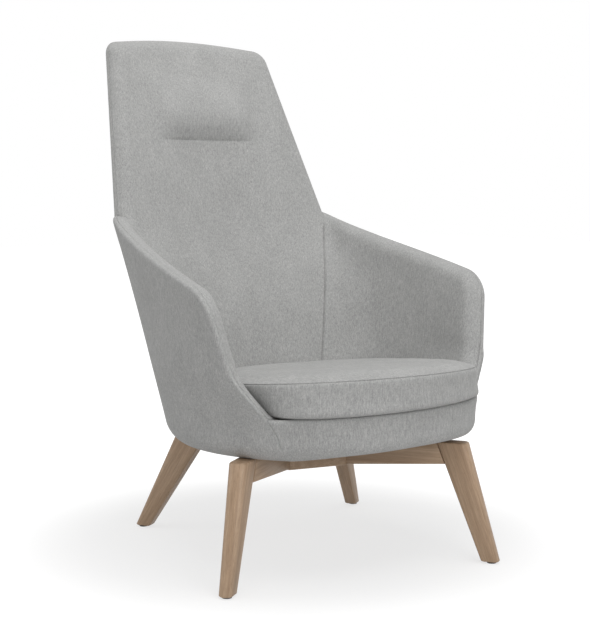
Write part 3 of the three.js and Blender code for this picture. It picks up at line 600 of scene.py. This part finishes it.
def new_piece(name, points, faces, body, material, replaced):
    piece = new_object(name, points, faces)
    shaped = bmesh.new()
    shaped.from_mesh(piece.data)
    bmesh.ops.remove_doubles(shaped, verts=shaped.verts, dist=SAME_POINT_M)
    bmesh.ops.dissolve_degenerate(shaped, edges=shaped.edges, dist=NO_LENGTH_M)
    bmesh.ops.recalc_face_normals(shaped, faces=shaped.faces)
    shaped.to_mesh(piece.data)
    shaped.free()
    piece.data.shade_smooth()
    piece.data.materials.append(material)
    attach(piece, body)
    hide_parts(*replaced)
    return piece


def slab_faces(wide, tall):
    """Faces of a closed sheet between two grids of points, the outer one first."""
    faces = []
    second = wide * tall
    for row in range(tall - 1):
        for column in range(wide - 1):
            first = row * wide + column
            around = (first, first + 1, first + wide + 1, first + wide)
            faces.append(around)
            faces.append(tuple(second + corner for corner in reversed(around)))
    edge = [*range(wide), *range(2 * wide - 1, wide * tall, wide)]
    edge += [*range(wide * tall - 2, wide * (tall - 1) - 1, -1)]
    edge += [*range(wide * (tall - 2), 0, -wide)]
    for start, end in zip(edge, edge[1:] + edge[:1]):
        faces.append((end, start, second + start, second + end))
    return faces


def upholstered_wall(name, patch, columns, rows, outer_at, inner_at, replaced, side=1):
    """A padded piece of a wall, between two faces given as depths at its columns and rows."""
    column = np.broadcast_to(columns[None, :], (len(rows), len(columns))).astype(float)
    rise = np.broadcast_to(rows[:, None], column.shape).astype(float)
    face = wall_point(patch, column, rise, 0)
    grids = [wall_point(patch, column, rise, at(face, column)) for at in (outer_at, inner_at)]
    points = np.concatenate([grid.reshape(-1, 3) for grid in grids]) * [side, 1, 1]
    faces = slab_faces(len(columns), len(rows))
    piece = new_piece(
        name, to_metres(points), faces, "seat", wool_upright, [replaced]
    )


# Materials

def linear(colour):
    channels = [int(colour[start:start + 2], 16) / 255 for start in (1, 3, 5)]
    return (*[
        channel / 12.92 if channel <= 0.04045 else ((channel + 0.055) / 1.055) ** 2.4
        for channel in channels
    ], 1)


def add(tree, kind, inputs=None, stops=(), **settings):
    """Adds a node with its settings, and feeds its inputs with values or with other nodes."""
    node = tree.nodes.new(kind)
    for name, value in settings.items():
        setattr(node, name, value)
    for name, value in (inputs or {}).items():
        source = value.outputs[0] if isinstance(value, bpy.types.Node) else value
        if isinstance(source, bpy.types.NodeSocket):
            tree.links.new(source, node.inputs[name])
        else:
            node.inputs[name].default_value = source
    for step, (position, colour) in enumerate(stops):
        elements = node.color_ramp.elements
        element = elements[step] if step < 2 else elements.new(position)
        element.position = position
        element.color = linear(colour)
    return node


def start_material(name):
    material = bpy.data.materials.new(name)
    material.use_nodes = True
    tree = material.node_tree
    tree.nodes.clear()
    return material, tree, add(tree, "ShaderNodeTexCoord").outputs["Object"]


GRAIN_ROUGHNESS = 0.6


def noise(tree, position, size_mm, detail):
    """Spots of this size along X, Y and Z."""
    scale = [1 / (length * MM) for length in size_mm]
    place = add(tree, "ShaderNodeMapping", {"Vector": position, "Scale": scale})
    return add(tree, "ShaderNodeTexNoise", {
        "Vector": place, "Scale": 1.0, "Detail": detail, "Roughness": GRAIN_ROUGHNESS,
    })


def ramp(tree, layer, *stops):
    return add(tree, "ShaderNodeValToRGB", {"Fac": layer}, stops)


def overlay(tree, share, under, over):
    # Sockets 6 and 7 are the mix node's two colours, and its output 2 is the mixed one
    mixed = add(tree, "ShaderNodeMix", {0: share, 6: under, 7: over},
                data_type="RGBA", blend_type="OVERLAY")
    return mixed.outputs[2]


def close_material(tree, surface, height, bump_mm, strength=1.0):
    bump = add(tree, "ShaderNodeBump", {
        "Height": height,
        "Distance": bump_mm * MM,
        "Strength": strength,
    })
    shader = add(tree, "ShaderNodeBsdfPrincipled", {**surface, "Normal": bump})
    add(tree, "ShaderNodeOutputMaterial", {"Surface": shader})


# An overlay leaves the colour under it as it is where it holds this one
NEUTRAL = "#BCBCBC"


def wool_melange(name, thread_run):
    """Woven wool in a light grey melange: soft and dry, with pale and dark fibres in short runs
    along the warp. The runs are drawn about twice as coarse as yarn, so that they show."""
    material, tree, position = start_material(name)
    runs = noise(tree, position, thread_run, detail=3)
    flecks = noise(tree, position, (1.9, 1.9, 3.4), detail=2)
    clouds = noise(tree, position, (60, 60, 90), detail=2)
    weave = noise(tree, position, (1.1, 1.1, 1.1), detail=2)
    base = ramp(tree, runs, (0.3, "#9C9C9B"), (0.7, "#B6B6B4"), (0.5, "#A9A9A8"))
    fleck = ramp(tree, flecks, (0.34, "#AAAAAA"), (0.68, "#CCCCCB"), (0.5, NEUTRAL))
    cloud = ramp(tree, clouds, (0.3, "#B6B6B6"), (0.7, "#C2C2C2"))
    flecked = overlay(tree, 0.8, base, fleck)
    close_material(tree, {
        "Base Color": overlay(tree, 0.6, flecked, cloud),
        "Roughness": 0.95,
        "Specular IOR Level": 0.25,
        "Sheen Weight": 0.12,
        "Sheen Roughness": 0.5,
        "Sheen Tint": linear("#E6E6E4"),
    }, weave, bump_mm=0.5, strength=0.6)
    return material


def oiled_oak(name, run_from, run_to):
    """Planed and oiled oak, light greyish brown: straight grain along the piece, with fine dark
    pores and a dull shine. The pores are drawn about twice as wide as real ones, to show."""
    material, tree, position = start_material(name)
    along = (Vector(run_to) - Vector(run_from)).normalized()
    turn = along.rotation_difference(Vector((0, 0, 1))).to_euler()
    turned = add(tree, "ShaderNodeMapping", {"Vector": position, "Rotation": turn})
    years = noise(tree, turned, (9, 9, 260), detail=3)
    fibres = noise(tree, turned, (1.4, 1.4, 42), detail=3)
    pores = noise(tree, turned, (0.9, 0.9, 9), detail=3)
    base = ramp(tree, years, (0.3, "#9D836A"), (0.7, "#B9A087"), (0.5, "#AB9178"))
    fibre = ramp(tree, fibres, (0.32, "#ADABA8"), (0.68, "#CCCAC7"))
    pore = ramp(tree, pores, (0.28, "#8E867C"), (0.42, NEUTRAL))
    grained = overlay(tree, 0.7, base, fibre)
    close_material(tree, {
        "Base Color": overlay(tree, 0.5, grained, pore),
        "Roughness": 0.48,
    }, fibres, bump_mm=0.15, strength=0.5)
    return material


def one_grain(name, low, high, grain_mm, surface, bump_mm):
    """A finish with one grain, its size given along X, Y and Z."""
    material, tree, position = start_material(name)
    grain = noise(tree, position, grain_mm, detail=2)
    colour = ramp(tree, grain, (0.3, low), (0.7, high))
    close_material(tree, {"Base Color": colour, **surface}, grain, bump_mm)
    return material


wool_upright = wool_melange("wool_melange_upright", (2.6, 2.6, 17))
wool_level = wool_melange("wool_melange_level", (2.6, 15, 2.6))

# Rotary-cut birch veneer, raw: pale, with a broad figure
plywood = one_grain(
    "birch_plywood", "#B3946B", "#D2B88F", (35, 140, 3), {"Roughness": 0.7}, bump_mm=0.1
)
# Non-woven polypropylene, pressed in a black web: flat and dull
lining = one_grain(
    "non_woven_lining", "#151516", "#262627", (1.2, 1.2, 1.2), {"Roughness": 0.95}, bump_mm=0.3
)
# Cotton decking cloth, charcoal, plain weave: dull, with a fine tooth
decking = one_grain(
    "cotton_decking_cloth", "#3E3F41", "#56575A", (1.3, 1.3, 1.3), {"Roughness": 1.0}, bump_mm=0.3
)
# Powder coat on steel, baked: a fine orange-peel skin with a low shine
powder_coat = one_grain(
    "black_powder_coat", "#141415", "#202022", (0.9, 0.9, 0.9), {"Roughness": 0.45}, bump_mm=0.06
)
# Zinc plate on steel, electroplated: a cool satin metal
zinc = one_grain(
    "zinc_plated_steel", "#9A9DA0", "#B9BBBD", (2.5, 2.5, 2.5),
    {"Roughness": 0.35, "Metallic": 1.0}, bump_mm=0.02,
)
# Nylon, moulded: an even off-white with a soft shine
nylon = one_grain(
    "natural_nylon", "#D8D4C8", "#E4E1D7", (3, 3, 3), {"Roughness": 0.55}, bump_mm=0.03
)
# Wool felt, pressed and die-cut: dark and hairy
felt = one_grain(
    "pressed_felt", "#2B2927", "#45423E", (1.1, 1.1, 1.1),
    {"Roughness": 1.0, "Sheen Weight": 0.3}, bump_mm=0.5,
)

# Upholstered walls
upholstered_wall(
    "back_outer_upholstery", BACK, back_columns, np.concatenate([under_rows, back_rows]),
    cover_face, cover_back, "outer_back_cover",
)
upholstered_wall(
    "back_inner_upholstery", BACK, back_columns, back_rows,
    pad_back, back_pad_face, "inner_back_pad",
)
for side_name, side in SIDES.items():
    upholstered_wall(
        f"arm_outer_upholstery_{side_name}", ARM, arm_columns,
        np.concatenate([under_rows, arm_rows]),
        cover_face, cover_back, f"outer_arm_cover_{side_name}", side,
    )
    upholstered_wall(
        f"arm_inner_upholstery_{side_name}", ARM, arm_columns, arm_rows,
        pad_back, arm_pad_face, f"inner_arm_pad_{side_name}", side,
    )
upholstered_wall(
    "front_rail_upholstery", RAIL, rail_columns, np.concatenate([under_rows, rail_rows]),
    rail_face, cover_back, "front_rail_cover",
)


# Seat cushion. Its edge lines follow the pads and bow past the front rail.

AROUND = 240
SETTLE_ROUNDS = 3
EASE_ROUNDS = 3
BOW_PARTS = parts(0, 1, 40)
ARM_EDGE_COLUMNS = np.concatenate([[1.6, 1.3, 1.1], parts(0.97, 0.1, 30)])
BACK_EDGE_COLUMNS = parts(1, 0, 24)
# Rings of its mesh: over the base, up the boxing and over the top
BASE_SHARES = parts(0.06, 0.97, 14)
TO_BASE_SEAM = 0.6
BOXING_PARTS = parts(0.04, 0.96, 12)
TOP_SHARES = (0.998, 0.993, 0.987, 0.98, 0.97, 0.958, *parts(0.945, 0.06, 18))


def cushion_seam_height(x, y):
    return CUSHION_SEAM_FRONT - CUSHION_SEAM_SLOPE * (y + CUSHION_REACH) - CUSHION_LEAN * x


def cushion_base_height(x, y):
    return deck_height(y) + CUSHION_LIFT


def cushion_foot_height(x, y):
    return cushion_base_height(x, y) + CUSHION_SEAM_RISE


def settled(patch, column, thickness_at, height_at, inset):
    """Plan points beside a pad, at the height that the cushion's edge has just there."""
    plan_at = patch[1]
    x, y, _, _ = plan_at(column, np.full_like(column, SEAT_LINE_HEIGHT))
    height = height_at(x, y)
    for _ in range(SETTLE_ROUNDS):
        x, y, in_x, in_y = plan_at(column, height)
        thickness = thickness_at(np.stack([x, y, height], axis=-1), column)
        reach = thickness + CUSHION_GAP + inset
        x, y = x + in_x * reach, y + in_y * reach
        height = height_at(x, y)
    return np.stack([x, y], axis=-1)


def cushion_line(height_at, inset, edge):
    """One closed edge line of the cushion, in even steps, with its corners eased."""
    corner_depth, *bow_shape = edge
    corner = settled(ARM, np.full(1, 2.0), lambda face, column: corner_depth, height_at, inset)[0]
    reach = CUSHION_REACH - inset
    bow = np.stack(front_bow(*corner, *bow_shape, reach, 1 - BOW_PARTS), axis=-1)
    arm = settled(ARM, ARM_EDGE_COLUMNS, arm_pad_face, height_at, inset)
    back = settled(BACK, BACK_EDGE_COLUMNS, back_pad_face, height_at, inset)
    path = np.concatenate([bow, arm, back])
    path = np.concatenate([path, path[-2::-1] * [-1, 1]])[:-1]
    for _ in range(EASE_ROUNDS):
        path = (np.roll(path, 1, axis=0) + 2 * path + np.roll(path, -1, axis=0)) / 4
    closed = np.concatenate([path, path[:1]])
    run = np.concatenate([[0], np.cumsum(np.linalg.norm(np.diff(closed, axis=0), axis=1))])
    steps = np.linspace(0, run[-1], AROUND, endpoint=False)
    x, y = (np.interp(steps, run, closed[:, i]) for i in (0, 1))
    return np.stack([x + CUSHION_SHIFT, y, height_at(x, y)], axis=-1)


def drawn_in(line, share, height_at):
    """A ring inside an edge line, at a share of its distance from the middle."""
    x = line[:, 0] * share
    y = (line[:, 1] - CUSHION_CENTRE_DEPTH) * share + CUSHION_CENTRE_DEPTH
    return np.stack([x, y, height_at(x, y)], axis=-1)


def crown_height(share):
    lift = CUSHION_CROWN * (1 - share**CUSHION_CROWN_POWER) + CUSHION_SEAM_TUCK
    return lambda x, y: cushion_seam_height(x, y) + lift


def cushion_rings():
    def base_line(inset):
        return cushion_line(cushion_foot_height, inset, CUSHION_BASE_BOW)

    def seam_line(inset):
        return cushion_line(cushion_seam_height, inset, CUSHION_SEAM_BOW)

    lower, lower_full = base_line(CUSHION_SEAM_TUCK), base_line(-CUSHION_BULGE)
    upper, upper_full = seam_line(CUSHION_SEAM_TUCK), seam_line(-CUSHION_BULGE)
    groove = seam_line(CUSHION_SEAM_TUCK + CUSHION_SEAM_GROOVE)
    rings = [drawn_in(lower, share, cushion_base_height) for share in BASE_SHARES]
    rings.append(mix(rings[-1], lower, TO_BASE_SEAM))
    rings.append(lower)
    for part in BOXING_PARTS:
        bulge = math.sin(math.pi * part) ** BOXING_BULGE_POWER
        straight = mix(lower, upper, part)
        rings.append(mix(straight, mix(lower_full, upper_full, part), bulge))
    rings.append(upper)
    rings.append(groove + [0, 0, CUSHION_SEAM_TUCK / 2])
    rings += [drawn_in(upper, share, crown_height(share)) for share in TOP_SHARES]
    return rings, lower, upper


def ring_faces(count, around):
    faces = []
    for ring in range(count - 1):
        for step in range(around):
            following = (step + 1) % around
            low, high = ring * around, (ring + 1) * around
            faces.append((low + step, low + following, high + following, high + step))
    bottom, top = count * around, count * around + 1
    for step in range(around):
        following = (step + 1) % around
        faces.append((following, step, bottom))
        faces.append(((count - 1) * around + step, (count - 1) * around + following, top))
    return faces


PROXY_VOXEL_MM = 7
SWELL_FRAMES = 20
SWELL_CAP_MM = 4
SEAM_HOLD_MM = 16
NEAR_POINTS = 6
NEAR_BLUR_M = 0.002
STUFFING = {
    "quality": 6,
    "mass": 0.3,
    "use_pressure": True,
    "uniform_pressure_force": 4,
    "tension_stiffness": 30,
    "compression_stiffness": 30,
    "bending_stiffness": 1.5,
}


def point_tree(points):
    tree = KDTree(len(points))
    for index, point in enumerate(points):
        tree.insert(point, index)
    tree.balance()
    return tree


def evaluated(piece):
    return piece.evaluated_get(bpy.context.evaluated_depsgraph_get())


def swollen(points, faces, held):
    """How far each point of the cushion moves when its cover is blown up like a stuffed one. A
    copy with even faces is blown up; its movement is capped, and held back at the seams."""
    proxy = new_object("cushion_proxy", points, faces)
    remesh = proxy.modifiers.new("even", "REMESH")
    remesh.mode = "VOXEL"
    remesh.voxel_size = PROXY_VOXEL_MM * MM
    even = bpy.data.meshes.new_from_object(evaluated(proxy))
    proxy.modifiers.clear()
    proxy.data = even
    before = vertex_positions(even)
    cloth = proxy.modifiers.new("stuffing", "CLOTH")
    for setting, value in STUFFING.items():
        setattr(cloth.settings, setting, value)
    cloth.settings.effector_weights.gravity = 0
    cloth.point_cache.frame_start = 1
    cloth.point_cache.frame_end = SWELL_FRAMES
    scene = bpy.context.scene
    for step in range(1, SWELL_FRAMES + 1):
        scene.frame_set(step)
    moved = vertex_positions(evaluated(proxy).data) - before
    scene.frame_set(1)
    bpy.data.objects.remove(proxy)
    length = np.linalg.norm(moved, axis=1)[:, None]
    cap = SWELL_CAP_MM * MM
    moved *= cap * np.tanh(length / cap) / np.maximum(length, NEARLY_ZERO)
    proxy_points, seams = point_tree(before), point_tree(held)
    answer = np.zeros_like(points)
    for index, point in enumerate(points):
        near = proxy_points.find_n(Vector(point), NEAR_POINTS)
        weights = np.array([1 / (gap + NEAR_BLUR_M) ** 2 for _, _, gap in near])
        mean = (moved[[found for _, found, _ in near]] * weights[:, None]).sum(0) / weights.sum()
        gap = seams.find(Vector(point))[2] / MM
        answer[index] = mean * (1 - math.exp(-((gap / SEAM_HOLD_MM) ** 2)))
    return answer


# Faces whose normal rises less than this are the cushion's boxing, and its cloth runs upright
BOXING_SLOPE = 0.6

rings, lower_seam, upper_seam = cushion_rings()
centres = np.array([rings[0].mean(0), rings[-1].mean(0)])
cushion_points = to_metres(np.concatenate([*rings, centres]))
cushion_faces = ring_faces(len(rings), AROUND)
seam_points = to_metres(np.concatenate([lower_seam, upper_seam]))
movement = swollen(cushion_points, cushion_faces, seam_points)
# The flat base rests on the deck, so it doesn't swell
bottom_centre = len(rings) * AROUND
movement[:len(BASE_SHARES) * AROUND] = 0
movement[bottom_centre] = 0
cushion_points = cushion_points + movement
cushion = new_piece(
    "seat_cushion_upholstery", cushion_points, cushion_faces,
    "seat", wool_level, ["seat_cushion"],
)
cushion.data.materials.append(wool_upright)
for face in cushion.data.polygons:
    face.material_index = int(abs(face.normal.z) < BOXING_SLOPE)


# Covered foam deck and dust cover: their solids in the frame, with softer edges

DECK_EASE_MM = 4
LINING_EASE_MM = 0.3
SOFT_EDGE_SEGMENTS = 3


def softened_copy(name, node, material, ease_mm):
    source = frame["nodes"][node].data
    faces = [tuple(polygon.vertices) for polygon in source.polygons]
    piece = new_piece(name, vertex_positions(source), faces, "seat", material, [node])
    bevel = piece.modifiers.new("soft_edge", "BEVEL")
    bevel.width = ease_mm * MM
    bevel.segments = SOFT_EDGE_SEGMENTS
    bevel.limit_method = "ANGLE"
    return piece


deck = softened_copy("seat_deck_cloth", "seat_deck", decking, DECK_EASE_MM)
dust_cover = softened_copy(
    "dust_cover_lining", "dust_cover", lining, LINING_EASE_MM
)

# Wood and metal of the frame: real edges are eased, so each solid gets a small bevel
WOOD_EASE_MM = 1.2
PLATE_EASE_MM = 0.5
SMALL_EASE_MM = 0.3
STUD_EASE_MM = 0.2
EASE_SEGMENTS = 2
EASED_EDGE_TURN = math.radians(32)
WELD_M = 1e-5
SECTION_REACH_M = 0.03
HUB_GRAIN = (1, 0.2, 0)


def finish_node(node, material, ease_mm):
    solid = frame["nodes"][node]
    solid.data.materials.clear()
    solid.data.materials.append(material)
    solid.data.shade_smooth()
    weld = solid.modifiers.new("joined_faces", "WELD")
    weld.merge_threshold = WELD_M
    bevel = solid.modifiers.new("eased_edges", "BEVEL")
    bevel.width = ease_mm * MM
    bevel.segments = EASE_SEGMENTS
    bevel.limit_method = "ANGLE"
    bevel.angle_limit = EASED_EDGE_TURN
    bevel.harden_normals = True


def centre_at(node, height_share):
    """The middle of a leg's section, at a share of its height."""
    vertices = vertex_positions(frame["nodes"][node].data)
    level = mix(vertices[:, 2].min(), vertices[:, 2].max(), height_share)
    near = vertices[np.abs(vertices[:, 2] - level) < SECTION_REACH_M]
    return near.mean(0)


hub_low, hub_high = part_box("hub")
for corner in CORNERS:
    leg, rail = f"leg_{corner}", f"rail_{corner}"
    leg_oak = oiled_oak(f"oiled_oak_{leg}", centre_at(leg, 0), centre_at(leg, 1))
    finish_node(leg, leg_oak, WOOD_EASE_MM)
    rail_low, rail_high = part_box(rail)
    rail_run = (rail_low + rail_high) / 2 - (hub_low + hub_high) / 2
    rail_run.z = 0
    finish_node(rail, oiled_oak(f"oiled_oak_{rail}", (0, 0, 0), rail_run), WOOD_EASE_MM)
    finish_node(f"glide_{corner}", felt, SMALL_EASE_MM)
    for stud in ("leg_stud", "hub_stud"):
        finish_node(f"{stud}_{corner}", zinc, STUD_EASE_MM)
    for screw in ("upper_plate_screw", "lower_plate_screw"):
        finish_node(f"{screw}_{corner}", zinc, SMALL_EASE_MM)
finish_node("hub", oiled_oak("oiled_oak_hub", (0, 0, 0), HUB_GRAIN), WOOD_EASE_MM)
for node in ("back_frame", "arm_frame_right", "arm_frame_left", "front_rail_board", "seat_board"):
    finish_node(node, plywood, PLATE_EASE_MM)
for node in ("swivel_upper_plate", "swivel_housing", "swivel_lower_plate", "swivel_spindle"):
    finish_node(node, powder_coat, PLATE_EASE_MM)
finish_node("swivel_retainer", zinc, SMALL_EASE_MM)
finish_node("swivel_thrust_washer", nylon, SMALL_EASE_MM)

# Studio: a white floor that keeps the chair's soft shadow, and white all round
scene = bpy.context.scene
scene.view_settings.view_transform = "Standard"

FLOOR_HALF = 12
FLOOR_DROP = 0.0005
# Glow of the floor near the chair and far out, and the distances from the axis between which it
# changes: the dimmer glow near the chair is painted shade, a grey pool that stays whatever the
# lamps do
FLOOR_GLOW_WITH_PAINTED_SHADE = (0.7, 1.0)
PAINTED_FLOOR_SHADE_REACH = (0.4, 0.9)


def background_rays(tree):
    """One for the rays that see the white background: from the camera, and through or off a
    clear or shiny surface."""
    path = add(tree, "ShaderNodeLightPath")
    seen = path.outputs["Is Camera Ray"]
    for more in ("Is Glossy Ray", "Is Transmission Ray"):
        either = add(tree, "ShaderNodeMath", {0: seen, 1: path.outputs[more]}, operation="MAXIMUM")
        seen = either.outputs[0]
    return seen


def studio_floor():
    """White paper sweep: matt, pale grey where the chair shades it, with painted shade as well: its
    glow is dimmer near the chair and white further out.
    """
    material, tree, position = start_material("studio_floor")
    reach = add(tree, "ShaderNodeVectorMath", {0: position}, operation="LENGTH")
    # Painted shade: the glow that the camera sees is dimmer near the chair's axis
    strength = add(tree, "ShaderNodeMapRange", {
        "Value": reach.outputs["Value"],
        "From Min": PAINTED_FLOOR_SHADE_REACH[0],
        "From Max": PAINTED_FLOOR_SHADE_REACH[1],
        "To Min": FLOOR_GLOW_WITH_PAINTED_SHADE[0],
        "To Max": FLOOR_GLOW_WITH_PAINTED_SHADE[1],
    }, interpolation_type="SMOOTHSTEP")
    glow_with_painted_shade = add(tree, "ShaderNodeEmission", {"Color": linear("#FFFFFF"), "Strength": strength})
    faint = add(tree, "ShaderNodeBsdfDiffuse", {"Color": linear("#8C8C8C")})
    shown = add(tree, "ShaderNodeAddShader", {0: glow_with_painted_shade, 1: faint})
    plain = add(tree, "ShaderNodeBsdfDiffuse", {"Color": linear("#E0E0E0")})
    chosen = add(tree, "ShaderNodeMixShader", {0: background_rays(tree), 1: plain, 2: shown})
    add(tree, "ShaderNodeOutputMaterial", {"Surface": chosen})
    return material


floor_corners = ((-1, -1), (1, -1), (1, 1), (-1, 1))
floor = new_object(
    "studio_floor",
    [(x * FLOOR_HALF, y * FLOOR_HALF, -FLOOR_DROP) for x, y in floor_corners],
    [(0, 1, 2, 3)],
)
floor.data.materials.append(studio_floor())

WORLD_LIGHT = 0.425


def studio_world():
    world = bpy.data.worlds.new("studio")
    world.use_nodes = True
    tree = world.node_tree
    tree.nodes.clear()
    strength = add(tree, "ShaderNodeMapRange", {
        "Value": background_rays(tree), "To Min": WORLD_LIGHT, "To Max": 1.0,
    })
    light = add(tree, "ShaderNodeBackground", {"Color": linear("#FFFFFF"), "Strength": strength})
    add(tree, "ShaderNodeOutputWorld", {"Surface": light})
    return world


scene.world = studio_world()

CHAIR_MIDDLE = Vector((AXIS_X, AXIS_Y, 0.55))


def aimed(name, data, place):
    """A lamp or a camera that looks at the middle of the chair."""
    made = bpy.data.objects.new(name, data)
    made.location = place
    made.rotation_euler = (CHAIR_MIDDLE - Vector(place)).to_track_quat("-Z", "Y").to_euler()
    scene.collection.objects.link(made)
    return made


def softbox(name, place, size, watts):
    light = bpy.data.lights.new(name, "AREA")
    light.shape = "RECTANGLE"
    light.size = light.size_y = size
    light.energy = watts
    aimed(name, light, place)


softbox("overhead_softbox", (-0.2, -0.8, 3.8), size=3.0, watts=73)
softbox("camera_side_softbox", (-1.0, -3.6, 1.7), size=1.8, watts=31)
softbox("rear_side_softbox", (-2.7, 1.9, 1.5), size=1.6, watts=12)

# Camera at the photograph's place: turned to the chair's left, a little above the seat
CAMERA_BEARING = math.radians(-40.1)
CAMERA_RISE = math.radians(4.968)
CAMERA_DISTANCE = 3.0956
CAMERA_LENS_MM = 79.24
CAMERA_SHIFT = (-0.0066, -0.0312)
away = Vector((
    math.sin(CAMERA_BEARING) * math.cos(CAMERA_RISE),
    -math.cos(CAMERA_BEARING) * math.cos(CAMERA_RISE),
    math.sin(CAMERA_RISE),
))
lens = bpy.data.cameras.new("photo_camera")
lens.lens = CAMERA_LENS_MM
lens.shift_x, lens.shift_y = CAMERA_SHIFT
scene.camera = aimed("photo_camera", lens, CHAIR_MIDDLE + away * CAMERA_DISTANCE)
